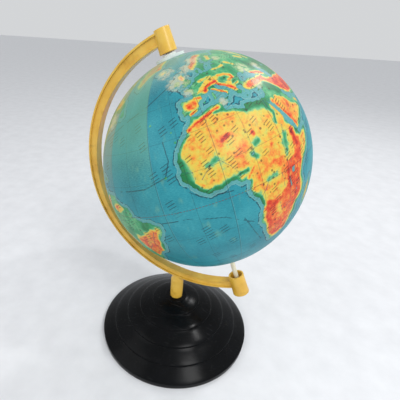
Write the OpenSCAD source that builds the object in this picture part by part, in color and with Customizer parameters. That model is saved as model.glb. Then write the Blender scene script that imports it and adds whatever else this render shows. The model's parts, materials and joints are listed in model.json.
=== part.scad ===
// Desktop globe: a spinning ball on a tilted axle, held by a half-round arm
// that turns on a stepped round base. Z is up, the origin is the centre of the
// resting face, and the arm lies in the XZ plane.

/* [Ball] */
// Outside diameter of the finished ball
ball_d = 150; // [110:1:210]
// Tilt of the spin axis from the vertical, in degrees
tilt = 23.5; // [15:0.5:30]
// Thickness of the moulded half shells
shell_t = 1.8; // [1.2:0.1:3]
// Thickness of the printed paper
paper_t = 0.4; // [0.2:0.1:0.8]
// Number of paper gores, from pole to pole
gore_count = 12; // [6:1:18]
// Depth of the hoop that joins the two half shells
hoop_h = 14; // [8:1:24]
// Wall of that hoop
hoop_t = 1.2; // [0.8:0.1:2]
// Turn of the ball at rest, in degrees
rest_turn = -3; // [-15:1:15]
// Sideways distance of the ball's centre from the base's centre line
ball_x = 14.2; // [8:0.2:20]

/* [Pole fittings] */
// Diameter of the disc on each pole
cap_d = 19; // [16:0.5:26]
// Height of that disc above the pole
cap_h = 1.2; // [0.8:0.1:2]
// Diameter of the raised collar on the disc
cap_collar_d = 9; // [8:0.5:12]
// Height of that collar above the disc
cap_collar_h = 1.4; // [0.8:0.1:2]
// Diameter of the bush's barrel in the shell's pole hole
bush_d = 10; // [9:0.5:14]
// Diameter of the bush's flange inside the shell
bush_flange_d = 18; // [16:0.5:24]
// Thickness of that flange
bush_flange_t = 2.5; // [1.5:0.1:4]

/* [Axle] */
// Diameter of the axle
axle_d = 4; // [3:0.1:4.4]
// Radial running clearance of the ball's bushes on the axle
axle_clearance = 0.05; // [0.02:0.01:0.1]
// Diameter of the collar that carries the ball
axle_collar_d = 8; // [7:0.5:10]
// Thickness of that collar
axle_collar_t = 2; // [1.5:0.1:3]
// Thickness of the slip washer on the collar
slip_washer_t = 0.8; // [0.5:0.1:1.5]

/* [Arm] */
// Gap between the north pole fitting and the upper sleeve
pole_gap = 0.8; // [0.5:0.1:1.5]
// Length of bare axle between the ball's south pole and the lower sleeve
foot_gap = 28; // [12:1:34]
// Radial height of the arm's section
arm_h = 7.5; // [5:0.1:9]
// Width of the arm
arm_w = 7.8; // [6:0.1:9]
// Thickness of the arm's two edge flanges
arm_flange_t = 1.3; // [1:0.1:2]
// Depth of the groove in each side of the arm
arm_groove = 1.2; // [0.6:0.1:1.6]
// Length of the upper sleeve
upper_sleeve_l = 13.5; // [13:0.5:20]
// Height of the arm's joint above the upper sleeve's mouth
upper_joint_h = 8.75; // [6:0.25:10]
// Diameter of the upper sleeve at its closed end
upper_sleeve_d = 10.4; // [10:0.1:14]
// Length of the lower sleeve
lower_sleeve_l = 20.5; // [16:0.5:28]
// Diameter of the lower sleeve at its open end
lower_sleeve_d = 13.6; // [12:0.1:18]
// Growth of each sleeve's diameter towards its lower end
sleeve_flare = 1.4; // [0:0.1:2]
// Wall of both sleeves
sleeve_wall = 1.3; // [1:0.1:1.8]
// Gap round the bush in the upper sleeve's mouth
upper_bush_gap = 0.6; // [0.3:0.1:0.8]
// Length of that bush
upper_bush_l = 7; // [5:0.5:8]
// Thickness of both sleeves' closed ends
sleeve_floor = 2.2; // [1.5:0.1:3]
// Length of the socket that grips the axle's lower end
axle_grip = 5; // [3:0.5:7]

/* [Post] */
// Diameter of the post under the arm
post_d = 12.6; // [11:0.2:16]
// Diameter of the spigot that turns in the base
spigot_d = 9; // [7:0.1:10.8]
// Length of the spigot
spigot_l = 14; // [10:0.5:18]
// Radial running clearance of the spigot in the base
spigot_clearance = 0.06; // [0.02:0.01:0.1]
// Up-and-down play of the arm in the base
swivel_play = 0.1; // [0.05:0.05:0.3]
// Height of the post between the base and the arm
post_l = 28; // [22:0.5:40]

/* [Base] */
// Diameter of the base
base_d = 158; // [130:1:200]
// Height of the base
base_h = 47; // [40:0.5:56]
// Height of the upright rim
rim_h = 5.5; // [4:0.5:9]
// Radius of the flat land round the post
land_r = 11; // [10:0.5:14]
// Number of ring steps between the land and the rim
ring_count = 5; // [3:1:8]
// Height of each ring step
ring_h = 1.6; // [0.8:0.1:2.4]
// Bulge of the base's slope, where 1 is a straight cone
slope_power = 1.3; // [1:0.05:1.6]
// Wall of the base
base_wall = 3; // [2:0.1:4]
// Wall of the tube that holds the spigot
boss_wall = 3.5; // [2.5:0.1:5]
// Number of ribs inside the base
rib_count = 6; // [3:1:8]
// Room between the ribs and the screw's washer
rib_clearance = 1; // [0.5:0.1:2]
// Thickness of those ribs
rib_t = 2; // [1.5:0.1:3]
// Thickness of the disc that closes the base
cover_t = 1.3; // [1:0.1:2]
// How far that disc stands below the base
cover_stand = 0.3; // [0.1:0.1:0.8]
// Gap round the edge of that disc
cover_gap = 0.2; // [0.1:0.05:0.5]
// Outside diameter of the weight
weight_d = 104; // [90:1:110]
// Diameter of the hole in the weight
weight_hole_d = 40; // [34:1:60]
// Thickness of the weight
weight_t = 4; // [3:0.5:6]
// Play between the weight and the parts over and under it
weight_gap = 0.1; // [0.05:0.05:0.5]

/* [Fasteners] */
// Diameter of the screw that holds the arm
screw_d = 3.2; // [2.6:0.1:4]
// Diameter of the screw's head
screw_head_d = 7; // [6:0.1:8]
// Height of the screw's head
screw_head_h = 2.6; // [2:0.1:3.5]
// Length of the screw's thread in the post
screw_l = 14; // [10:0.5:18]
// Diameter of the screw's washer
washer_d = 15; // [13:0.5:18]
// Thickness of that washer
washer_t = 1; // [0.8:0.1:1.6]
// Radial clearance of the washer on the screw
washer_clearance = 0.2; // [0.1:0.05:0.4]

/* [Hidden] */
$fn = 96;
// Segments of the circles that are as large as the ball
ball_fn = 288;
// Extra depth that makes a cut pass clear of a face
cut = 1;

ball_r = ball_d / 2;
shell_r = ball_r - paper_t;
shell_in_r = shell_r - shell_t;
axle_r = axle_d / 2;
bush_bore_r = axle_r + axle_clearance;
gore_angle = 360 / gore_count;

// Heights along the spin axis, measured from the ball's centre
cap_top = ball_r + cap_h;
collar_top = cap_top + cap_collar_h;
upper_sleeve_low = collar_top + pole_gap;
upper_sleeve_top = upper_sleeve_low + upper_sleeve_l;
lower_sleeve_top = -ball_r - foot_gap;
lower_sleeve_low = lower_sleeve_top - lower_sleeve_l;
axle_low = lower_sleeve_low + sleeve_floor;
axle_top = upper_sleeve_top - sleeve_floor;
washer_top = -collar_top - swivel_play;
axle_collar_top = washer_top - slip_washer_t;

// The arm's curve runs from its joint on the upper sleeve to the middle of
// the part of the lower sleeve that stands above its floor
arm_top = upper_sleeve_low + upper_joint_h;
arm_low = lower_sleeve_top - (lower_sleeve_l - sleeve_floor) / 2;
arm_r = (arm_top - arm_low) / 2;
arm_drop = (arm_top + arm_low) / 2;
arm_out_r = arm_r + arm_h / 2;

// The arm's centre over the base, and the ball's height that follows from it
arm_x = ball_x - arm_drop * sin(tilt);
post_low = base_h + swivel_play;
arm_z = post_low + post_l + sqrt(pow(arm_out_r, 2) - pow(arm_x, 2));
ball_z = arm_z - arm_drop * cos(tilt);

upper_bore_r = upper_sleeve_d / 2 - sleeve_wall;
upper_bush_r = upper_bore_r - upper_bush_gap;
lower_bore_r = lower_sleeve_d / 2 - sleeve_wall;

base_r = base_d / 2;
boss_bore_r = spigot_d / 2 + spigot_clearance;
boss_r = boss_bore_r + boss_wall;
spigot_low = post_low - spigot_l;
boss_low = spigot_low + swivel_play;
washer_low = spigot_low - washer_t;
weight_low = cover_t + weight_gap;
rib_low = weight_low + weight_t + weight_gap;
cavity_r = base_r - base_wall;

ball_nodes = ["hemisphere_north", "hemisphere_south", "joining_hoop", "bush_north",
    "bush_south", "pole_cap_north", "pole_cap_south"];
arm_nodes = ["meridian_arm", "axle", "upper_axle_bush", "slip_washer", "arm_screw",
    "arm_washer"];
base_nodes = ["base_shell", "base_weight", "base_cover"];

function gore_name(i) = str("map_gore_", i < 10 ? "0" : "", i);

// Height of the base's mean slope at a radius
function slope_z(r) = rim_h + (base_h - rim_h)
    * (1 - pow((r - land_r) / (base_r - land_r), slope_power));

// Radius of one ring step, counted from the rim
function ring_r(i) = base_r - (base_r - land_r) * i / ring_count;

// One tread from its outer ring to its inner one: it starts half a step above
// the mean slope and ends half a step below it
function tread(i) = [for (t = [0:0.25:1])
    let (r = ring_r(i) * (1 - t) + ring_r(i + 1) * t)
    [r, slope_z(r) + ring_h * (0.5 - t)]];

// Places its children in the ball's own frame, with the spin axis along Z
module on_axis() {
    translate([ball_x, 0, ball_z]) rotate([0, -tilt, 0]) children();
}

// Half outline of a spherical shell between two heights, outside a pole hole
module zone_outline(r_out, r_in, low, high, hole_r = 0) {
    intersection() {
        difference() {
            circle(r_out, $fn = ball_fn);
            circle(r_in, $fn = ball_fn);
        }
        translate([hole_r, low]) square([r_out, high - low]);
    }
}

module half_shell() {
    rotate_extrude() zone_outline(shell_r, shell_in_r, 0, shell_r, bush_d / 2);
}

// Flanged bush, glued in a pole hole from inside
module pole_bush() {
    flange_low = sqrt(pow(shell_in_r, 2) - pow(bush_flange_d / 2, 2)) - bush_flange_t;
    rotate_extrude() {
        translate([bush_bore_r, flange_low])
            square([bush_d / 2 - bush_bore_r, ball_r - paper_t - flange_low]);
        intersection() {
            circle(shell_in_r, $fn = ball_fn);
            translate([bush_bore_r, flange_low])
                square([bush_flange_d / 2 - bush_bore_r, shell_in_r]);
        }
    }
}

// Disc with a raised collar, seated on the paper over a pole
module pole_cap() {
    rotate_extrude() {
        difference() {
            translate([bush_bore_r, ball_r - cap_d / 4])
                square([cap_d / 2 - bush_bore_r, cap_d / 4 + cap_h]);
            circle(ball_r, $fn = ball_fn);
        }
        translate([bush_bore_r, cap_top - cap_h / 2])
            square([cap_collar_d / 2 - bush_bore_r, cap_collar_h + cap_h / 2]);
    }
}

// I-shaped section of the arm, centred on its mean radius
module arm_section() {
    web_h = arm_h - 2 * arm_flange_t;
    difference() {
        translate([arm_r - arm_h / 2, -arm_w / 2]) square([arm_h, arm_w]);
        for (side = [-1, 1])
            translate([arm_r - web_h / 2, side * arm_w / 2 - arm_groove])
                square([web_h, 2 * arm_groove]);
    }
}

module arm_curve() {
    translate([0, 0, arm_drop]) rotate([90, 0, 0]) rotate([0, 0, 90])
        rotate_extrude(angle = 180) arm_section();
}

module sleeve(low, length, top_d) {
    translate([0, 0, low])
        cylinder(h = length, d1 = top_d + sleeve_flare, d2 = top_d);
}

module sleeve_bores() {
    translate([0, 0, upper_sleeve_low - cut]) cylinder(h = upper_bush_l + 2 * cut, r = upper_bore_r);
    translate([0, 0, upper_sleeve_low]) cylinder(h = axle_top - upper_sleeve_low, r = axle_r);
    translate([0, 0, axle_low + axle_grip])
        cylinder(h = lower_sleeve_top - axle_low - axle_grip + cut, r = lower_bore_r);
    translate([0, 0, axle_low]) cylinder(h = axle_grip + cut, r = axle_r);
}

module post() {
    neck = 5;
    // The neck ends inside the arm's flange and narrower than the arm, so that
    // its cone crosses the arm's sides instead of only touching them
    neck_in = arm_flange_t * 0.8;
    neck_top_d = arm_w * 0.86;
    translate([0, 0, post_low]) cylinder(h = post_l - neck, d = post_d);
    translate([0, 0, post_low + post_l - neck])
        cylinder(h = neck + neck_in, d1 = post_d, d2 = neck_top_d);
    translate([0, 0, spigot_low]) cylinder(h = spigot_l + cut, d = spigot_d);
}

module meridian_arm() {
    color([0.84, 0.64, 0.2]) difference() {
        union() {
            on_axis() {
                arm_curve();
                sleeve(upper_sleeve_low, upper_sleeve_l, upper_sleeve_d);
                sleeve(lower_sleeve_low, lower_sleeve_l, lower_sleeve_d);
            }
            post();
        }
        on_axis() sleeve_bores();
        translate([0, 0, spigot_low - cut]) cylinder(h = screw_l + cut, d = screw_d);
    }
}

module axle() {
    color([0.9, 0.88, 0.8]) on_axis() {
        translate([0, 0, axle_low]) cylinder(h = axle_top - axle_low, r = axle_r);
        translate([0, 0, axle_collar_top - axle_collar_t])
            cylinder(h = axle_collar_t, d = axle_collar_d);
    }
}

module upper_axle_bush() {
    color([0.9, 0.82, 0.78]) on_axis() difference() {
        translate([0, 0, upper_sleeve_low]) cylinder(h = upper_bush_l, r = upper_bush_r);
        translate([0, 0, upper_sleeve_low - cut]) cylinder(h = upper_bush_l + 2 * cut, r = axle_r);
    }
}

module slip_washer() {
    color([0.85, 0.85, 0.82]) on_axis() difference() {
        translate([0, 0, axle_collar_top]) cylinder(h = slip_washer_t, d = axle_collar_d);
        translate([0, 0, axle_collar_top - cut]) cylinder(h = slip_washer_t + 2 * cut, r = axle_r);
    }
}

module arm_screw() {
    color([0.6, 0.6, 0.62]) {
        translate([0, 0, washer_low]) cylinder(h = screw_l + washer_t - cut, d = screw_d);
        translate([0, 0, washer_low - screw_head_h]) difference() {
            cylinder(h = screw_head_h, d = screw_head_d);
            for (turn = [0, 90])
                rotate([0, 0, turn]) cube([screw_head_d * 0.6, screw_head_d * 0.16, screw_head_h], center = true);
        }
    }
}

module arm_washer() {
    color([0.6, 0.6, 0.62]) translate([0, 0, washer_low]) difference() {
        cylinder(h = washer_t, d = washer_d);
        translate([0, 0, -cut]) cylinder(h = washer_t + 2 * cut, r = screw_d / 2 + washer_clearance);
    }
}

// Outline of the base's stepped top, from the rim to the land
module base_outline() {
    polygon(concat(
        [[0, cover_stand], [base_r, cover_stand]],
        [for (i = [0:ring_count - 1]) each tread(i)],
        [[land_r, base_h], [0, base_h]]));
}

// Outline of the space under the base, a wall's thickness inside the slope
module cavity_outline() {
    polygon([
        [0, cover_stand - cut],
        [cavity_r, cover_stand - cut],
        [cavity_r, rim_h - base_wall + 1],
        [(cavity_r + land_r) / 2, slope_z((cavity_r + land_r) / 2) - base_wall * 1.5],
        [land_r, base_h - base_wall * 1.5],
        [0, base_h - base_wall * 1.5]]);
}

module ribs() {
    room_r = max(washer_d, screw_head_d) / 2 + rib_clearance;
    difference() {
        rib_star();
        translate([0, 0, rib_low - cut]) cylinder(h = boss_low - rib_low + cut, r = room_r);
    }
}

module rib_star() {
    intersection() {
        translate([0, 0, rib_low]) cylinder(h = base_h - rib_low - base_wall, r = cavity_r);
        rotate_extrude() base_outline();
        for (i = [0:rib_count - 1])
            rotate([0, 0, i * 360 / rib_count])
                translate([boss_r - cut, -rib_t / 2, 0]) cube([base_r, rib_t, base_h]);
    }
}

module base_shell() {
    color([0.07, 0.07, 0.08]) difference() {
        union() {
            difference() {
                rotate_extrude() base_outline();
                rotate_extrude() cavity_outline();
            }
            translate([0, 0, boss_low]) cylinder(h = base_h - boss_low, r = boss_r);
            ribs();
        }
        translate([0, 0, boss_low - cut]) cylinder(h = base_h, r = boss_bore_r);
    }
}

module base_weight() {
    color([0.4, 0.4, 0.42]) translate([0, 0, weight_low]) difference() {
        cylinder(h = weight_t, d = weight_d);
        translate([0, 0, -cut]) cylinder(h = weight_t + 2 * cut, d = weight_hole_d);
    }
}

module base_cover() {
    color([0.1, 0.16, 0.12]) cylinder(h = cover_t, r = cavity_r - cover_gap);
}

module hemisphere_north() {
    color([0.8, 0.78, 0.7]) on_axis() half_shell();
}

module hemisphere_south() {
    color([0.8, 0.78, 0.7]) on_axis() mirror([0, 0, 1]) half_shell();
}

module joining_hoop() {
    color([0.6, 0.5, 0.38]) on_axis() rotate_extrude()
        zone_outline(shell_in_r, shell_in_r - hoop_t, -hoop_h / 2, hoop_h / 2);
}

module bush_north() {
    color([0.92, 0.92, 0.9]) on_axis() pole_bush();
}

module bush_south() {
    color([0.92, 0.92, 0.9]) on_axis() mirror([0, 0, 1]) pole_bush();
}

module pole_cap_north() {
    color([0.9, 0.92, 0.9]) on_axis() pole_cap();
}

module pole_cap_south() {
    color([0.9, 0.92, 0.9]) on_axis() mirror([0, 0, 1]) pole_cap();
}

// One strip of printed paper, from the north pole hole to the south one
module map_gore(i) {
    color([0.2, 0.58, 0.62]) on_axis() rotate([0, 0, (i - 1) * gore_angle + rest_turn])
        rotate_extrude(angle = gore_angle)
            zone_outline(ball_r, shell_r, -ball_r, ball_r, bush_d / 2);
}

base_shell();
base_weight();
base_cover();
meridian_arm();
axle();
upper_axle_bush();
slip_washer();
arm_screw();
arm_washer();
hemisphere_north();
hemisphere_south();
joining_hoop();
bush_north();
bush_south();
pole_cap_north();
pole_cap_south();
for (i = [1:gore_count])
    map_gore(i);
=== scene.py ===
"""A desktop globe on a stand: a printed ball on a leaning axle, held in a yellow half-round arm
over a black stepped base."""
import json
import math

import bpy
import numpy as np
from mathutils import Matrix, Vector


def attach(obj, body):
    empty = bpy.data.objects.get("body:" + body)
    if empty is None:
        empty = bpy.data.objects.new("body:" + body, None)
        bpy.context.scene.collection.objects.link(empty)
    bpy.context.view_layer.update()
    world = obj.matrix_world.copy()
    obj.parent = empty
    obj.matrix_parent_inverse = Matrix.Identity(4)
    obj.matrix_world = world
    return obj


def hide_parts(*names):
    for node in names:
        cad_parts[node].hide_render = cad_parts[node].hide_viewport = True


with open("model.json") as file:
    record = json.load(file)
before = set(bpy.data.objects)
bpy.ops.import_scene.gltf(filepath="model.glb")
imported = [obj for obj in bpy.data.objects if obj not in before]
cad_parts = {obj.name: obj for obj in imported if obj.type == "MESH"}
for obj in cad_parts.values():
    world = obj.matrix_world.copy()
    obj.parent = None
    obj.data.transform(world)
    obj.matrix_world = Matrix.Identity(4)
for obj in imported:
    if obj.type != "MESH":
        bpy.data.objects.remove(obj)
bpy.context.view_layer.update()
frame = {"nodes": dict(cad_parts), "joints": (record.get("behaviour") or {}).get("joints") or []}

MM = 0.001
SPIN = next(joint for joint in frame["joints"] if joint["name"] == "ball_spin")
BALL_CENTRE = Vector(SPIN["pos_m"])
BALL_AXIS = Vector(SPIN["axis"]).normalized()
BALL_R = 75 * MM


# ---------------------------------------------------------------- camera, floor and lights

CAMERA_PLACE = Vector((0.0620, -0.2197, 0.2781))
CAMERA_YAW = math.radians(18.91)
CAMERA_DIP = math.radians(37.86)
CAMERA_ROLL = math.radians(2.31)
LIT_POINT = Vector((0, 0, 0.1))


def place_camera():
    """A camera turned left by its yaw, looking down by its dip and leaned by its roll."""
    right = Vector((math.cos(CAMERA_YAW), math.sin(CAMERA_YAW), 0))
    ahead = Vector((-math.sin(CAMERA_YAW), math.cos(CAMERA_YAW), 0))
    look = ahead * math.cos(CAMERA_DIP) - Vector((0, 0, math.sin(CAMERA_DIP)))
    up = right.cross(look)
    leaned_right = right * math.cos(CAMERA_ROLL) + up * math.sin(CAMERA_ROLL)
    leaned_up = up * math.cos(CAMERA_ROLL) - right * math.sin(CAMERA_ROLL)
    lens = bpy.data.cameras.new("camera")
    lens.lens = 27.35
    lens.sensor_width = 36
    lens.shift_x = 0.0850
    lens.shift_y = 0.1336
    lens.clip_start = 0.01
    camera = bpy.data.objects.new("camera", lens)
    bpy.context.scene.collection.objects.link(camera)
    turned = Matrix((leaned_right, leaned_up, -look)).transposed()
    camera.matrix_world = Matrix.LocRotScale(CAMERA_PLACE, turned, None)
    bpy.context.scene.camera = camera
    bpy.context.scene.view_settings.view_transform = "Standard"


def lay_floor():
    """A plain pale floor with faint clouding."""
    bpy.ops.mesh.primitive_plane_add(size=8)
    floor = bpy.context.object
    floor.name = "floor"
    paint = Finish("floor_pale")
    speck = paint.noise(paint.place(), 40, 3)
    pale = paint.ramp(speck, [(0.3, srgb(222, 223, 226)), (0.7, srgb(230, 231, 234))])
    floor.data.materials.append(paint.shade(base=pale, rough=0.75))


def light_room():
    """Even light from the room, and four soft lamps round the globe."""
    world = bpy.data.worlds.new("room")
    bpy.context.scene.world = world
    world.use_nodes = True
    sky = world.node_tree.nodes["Background"].inputs
    sky["Color"].default_value = srgb(236, 238, 240)
    sky["Strength"].default_value = 0.78
    lamp("window", (0.62, -0.55, 0.95), 0.34, 4.6)
    lamp("fill", (-0.9, -0.8, 0.8), 0.9, 3.0)
    lamp("bulb", (0.66, 0.0, 1.05), 0.06, 1.8)
    lamp("back", (0.30, 0.75, 0.9), 0.16, 2.4)


def lamp(name, place, size, power):
    """A square soft light that faces the globe."""
    light = bpy.data.lights.new(name, "AREA")
    light.size = size
    light.energy = power
    holder = bpy.data.objects.new(name, light)
    bpy.context.scene.collection.objects.link(holder)
    holder.location = place
    aim = LIT_POINT - holder.location
    holder.rotation_euler = aim.to_track_quat("-Z", "Y").to_euler()


# ---------------------------------------------------------------- finishes

def srgb(red, green, blue):
    """A colour picked in 0 to 255 steps, as the shader wants it."""
    def linear(step):
        part = step / 255
        return part / 12.92 if part <= 0.04045 else ((part + 0.055) / 1.055) ** 2.4
    return (linear(red), linear(green), linear(blue), 1)


class Wire:
    """A shader socket that takes Python's arithmetic: each operation adds its Math node."""

    def __init__(self, finish, socket):
        self.finish = finish
        self.socket = socket

    def maths(self, operation, *values):
        return self.finish.node("Math", {"operation": operation}, dict(enumerate(values)))

    def __add__(self, other):
        return self.maths("ADD", self, other)

    def __radd__(self, other):
        return self.maths("ADD", other, self)

    def __sub__(self, other):
        return self.maths("SUBTRACT", self, other)

    def __rsub__(self, other):
        return self.maths("SUBTRACT", other, self)

    def __mul__(self, other):
        return self.maths("MULTIPLY", self, other)

    def __rmul__(self, other):
        return self.maths("MULTIPLY", other, self)

    def __truediv__(self, other):
        return self.maths("DIVIDE", self, other)

    def above(self, edge, softness=0.02):
        """1 where the value is over the edge, 0 below it, with a soft step."""
        return self.finish.node("MapRange", {"interpolation_type": "SMOOTHSTEP"}, {
            "Value": self, "From Min": edge - softness, "From Max": edge + softness})

    def band(self, middle, half, softness=0.02):
        """1 inside a band of values, 0 outside it."""
        off = self.maths("ABSOLUTE", self - middle)
        return 1 - off.above(half, softness)


class Finish:
    """A material while it is made."""

    def __init__(self, name):
        self.material = bpy.data.materials.new(name)
        self.material.use_nodes = True
        self.tree = self.material.node_tree
        self.shader = self.tree.nodes["Principled BSDF"]

    def node(self, kind, settings=None, inputs=None, out=0):
        made = self.tree.nodes.new("ShaderNode" + kind)
        for key, value in (settings or {}).items():
            if key == "stops":
                self.set_stops(made.color_ramp, value)
            else:
                setattr(made, key, value)
        self.plug(made, inputs or {})
        return Wire(self, made.outputs[out])

    def set_stops(self, ramp, stops):
        while len(ramp.elements) < len(stops):
            ramp.elements.new(0.5)
        for element, (place, colour) in zip(ramp.elements, stops):
            element.position = place
            element.color = colour

    def plug(self, made, inputs):
        for key, value in inputs.items():
            if isinstance(value, Wire):
                self.tree.links.new(value.socket, made.inputs[key])
            else:
                made.inputs[key].default_value = value

    def place(self):
        """Object coordinates, in metres."""
        return self.node("TexCoord", out="Object")

    def scaled(self, place, size):
        """Coordinates stretched by a size along each axis."""
        return self.node("VectorMath", {"operation": "MULTIPLY"}, {0: place, 1: size})

    def field(self, name):
        """A number stored at each of the mesh's points."""
        return self.node("Attribute", {"attribute_name": name}, out="Fac")

    def noise(self, place, scale, detail=4, rough=0.55):
        return self.node("TexNoise", None, {
            "Vector": place, "Scale": scale, "Detail": detail, "Roughness": rough})

    def ramp(self, value, stops):
        return self.node("ValToRGB", {"stops": stops}, {0: value})

    def mix(self, share, first, second):
        """The first colour, with a share of the second over it."""
        return self.node("Mix", {"data_type": "RGBA"}, {0: share, 6: first, 7: second}, out=2)

    def flat(self, first, second):
        """Two numbers as coordinates on a flat sheet."""
        return self.node("CombineXYZ", None, {0: first, 1: second, 2: 0.0})

    def larger(self, first, second):
        return self.node("Math", {"operation": "MAXIMUM"}, {0: first, 1: second})

    def bump(self, height, strength, distance):
        return self.node("Bump", None, {
            "Height": height, "Strength": strength, "Distance": distance})

    def rounded(self, radius, height, strength, distance):
        """A bump over normals that round off the edges by a radius in metres."""
        soft = self.node("Bevel", {"samples": 6}, {"Radius": radius})
        return self.node("Bump", None, {
            "Height": height, "Strength": strength, "Distance": distance, "Normal": soft})

    def shade(self, base, rough, normal=None, metal=0.0, coat=0.0, coat_rough=0.1, gloss=0.5):
        """Joins everything to the shader and gives the finished material."""
        self.plug(self.shader, {"Base Color": base, "Roughness": rough, "Metallic": metal,
                                "Coat Weight": coat, "Coat Roughness": coat_rough,
                                "Specular IOR Level": gloss})
        if normal is not None:
            self.plug(self.shader, {"Normal": normal})
        return self.material


# ---------------------------------------------------------------- the map, in degrees

# Coasts as closed rings of longitude and latitude, coarse, as on a small globe
EURASIA = [
    (-5.6, 36.0), (-6.4, 36.8), (-7.4, 37.2), (-8.9, 37.0), (-8.8, 38.4), (-9.5, 38.8), (-8.8, 40.8),
    (-8.9, 42.0), (-9.3, 43.0), (-8.0, 43.7), (-5.8, 43.6), (-3.5, 43.5), (-1.7, 43.4), (-1.2, 44.6),
    (-1.1, 46.0), (-2.2, 47.2), (-4.5, 47.9), (-4.7, 48.5), (-3.0, 48.8), (-1.5, 48.7), (-1.8, 49.7),
    (-0.2, 49.4), (1.5, 50.2), (1.7, 51.0), (3.5, 51.5), (4.6, 52.9), (6.5, 53.5), (8.3, 53.8),
    (8.8, 54.3), (8.1, 55.6), (8.3, 57.0), (10.5, 57.7), (10.3, 56.4), (9.8, 55.2), (10.9, 54.2),
    (12.5, 54.4), (14.2, 53.9), (16.5, 54.5), (18.6, 54.7), (19.9, 54.5), (21.1, 55.8), (21.6, 57.5),
    (24.0, 57.1), (23.5, 58.8), (27.5, 59.5), (30.0, 60.0), (27.0, 60.5), (22.9, 59.9), (21.4, 61.0),
    (21.5, 63.0), (25.3, 64.9), (24.2, 65.8), (22.2, 65.7), (21.2, 64.4), (18.0, 62.6), (17.2, 60.7),
    (18.9, 59.8), (16.6, 57.9), (16.2, 56.6), (14.4, 55.5), (12.9, 55.5), (11.3, 58.9), (10.4, 59.4),
    (8.2, 58.1), (5.7, 58.7), (5.1, 60.5), (5.3, 62.0), (9.0, 63.6), (12.5, 66.0), (15.0, 68.3),
    (18.5, 69.7), (23.0, 70.7), (28.0, 71.0), (31.0, 70.2), (36.0, 69.1), (41.0, 67.4), (38.5, 66.1),
    (33.5, 66.7), (35.0, 64.4), (38.0, 64.0), (40.2, 64.8), (40.5, 66.2), (43.9, 66.2), (44.2, 68.3),
    (46.3, 67.9), (50.0, 68.2), (54.5, 68.4), (59.8, 68.6), (61.0, 69.7), (66.5, 69.2), (68.0, 71.5),
    (69.5, 73.0), (72.8, 72.7), (72.6, 70.0), (74.0, 67.4), (76.8, 68.2), (75.0, 71.8), (80.5, 72.6),
    (80.5, 73.8), (87.0, 75.2), (98.0, 76.3), (104.2, 77.7), (112.5, 76.3), (113.0, 73.8),
    (120.0, 73.1), (127.0, 73.4), (129.0, 71.0), (135.0, 71.6), (140.0, 72.6), (150.0, 71.5),
    (160.0, 69.6), (170.0, 69.9), (180.0, 68.9), (190.2, 66.1), (187.0, 64.4), (181.0, 65.2),
    (177.5, 64.6), (179.3, 62.5), (172.0, 60.8), (164.5, 59.8), (162.0, 57.8), (162.8, 56.2),
    (160.0, 53.2), (156.7, 51.0), (155.6, 55.0), (157.0, 57.8), (163.5, 61.5), (160.0, 61.8),
    (155.0, 59.3), (148.0, 59.4), (142.0, 59.2), (135.3, 54.8), (140.8, 53.1), (140.4, 48.5),
    (135.5, 44.5), (132.0, 43.2), (129.7, 41.2), (127.5, 39.6), (129.4, 37.0), (129.1, 35.2),
    (126.5, 34.4), (126.6, 37.2), (125.0, 38.0), (124.7, 39.8), (121.5, 39.0), (121.9, 40.7),
    (118.0, 39.2), (119.0, 37.4), (122.5, 37.2), (119.3, 35.0), (121.5, 32.5), (121.9, 30.8),
    (121.5, 28.5), (119.0, 25.5), (116.5, 23.0), (113.5, 22.1), (110.2, 20.6), (108.3, 21.6),
    (105.8, 19.2), (107.2, 16.8), (109.2, 13.0), (108.2, 11.2), (105.0, 8.7), (104.6, 10.4),
    (102.6, 12.0), (100.9, 13.4), (99.3, 10.5), (100.5, 7.2), (103.4, 4.6), (104.2, 1.4),
    (101.3, 2.9), (100.2, 6.2), (98.4, 8.2), (98.6, 12.3), (97.6, 16.5), (95.3, 15.8), (94.2, 18.5),
    (92.0, 21.5), (90.0, 22.0), (87.0, 21.4), (85.0, 19.6), (82.2, 16.7), (80.2, 15.4), (80.2, 13.0),
    (79.8, 10.4), (78.0, 8.3), (76.3, 9.9), (74.8, 13.0), (73.3, 17.0), (72.7, 20.8), (70.5, 20.8),
    (69.0, 22.4), (67.0, 24.8), (62.0, 25.2), (57.2, 25.8), (56.5, 27.1), (52.5, 27.5), (50.3, 30.0),
    (48.3, 30.1), (48.3, 28.4), (50.2, 26.6), (50.8, 24.8), (51.4, 25.9), (51.8, 24.2), (54.2, 24.2),
    (56.2, 26.1), (56.6, 24.5), (59.7, 22.5), (57.8, 19.2), (55.0, 17.2), (52.0, 15.7), (48.5, 14.0),
    (45.0, 12.8), (43.4, 12.7), (42.8, 15.5), (40.8, 19.0), (39.0, 21.5), (37.2, 24.5), (35.5, 27.8),
    (34.9, 29.4), (34.2, 27.8), (32.9, 29.4), (32.3, 30.0), (31.9, 30.6), (32.0, 31.1), (34.2, 31.3),
    (35.1, 33.0), (35.8, 34.9), (36.1, 36.6), (34.0, 36.3), (32.5, 36.1), (30.5, 36.6), (27.6, 36.8),
    (26.3, 38.9), (26.4, 40.2), (26.2, 40.9), (24.3, 40.9), (22.8, 40.4), (24.0, 37.9), (22.7, 36.6),
    (21.3, 37.4), (19.4, 41.2), (18.5, 42.4), (15.5, 44.0), (13.7, 45.6), (12.3, 45.3), (12.4, 44.2),
    (14.3, 42.3), (16.1, 41.7), (18.5, 40.1), (16.9, 40.5), (17.0, 39.0), (15.8, 38.0), (15.7, 40.0),
    (12.3, 41.8), (10.4, 43.3), (8.8, 44.4), (6.5, 43.2), (3.3, 43.2), (3.1, 41.9), (0.3, 40.4),
    (-0.2, 38.8), (-1.0, 37.6), (-2.2, 36.8), (-4.5, 36.7)]

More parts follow.
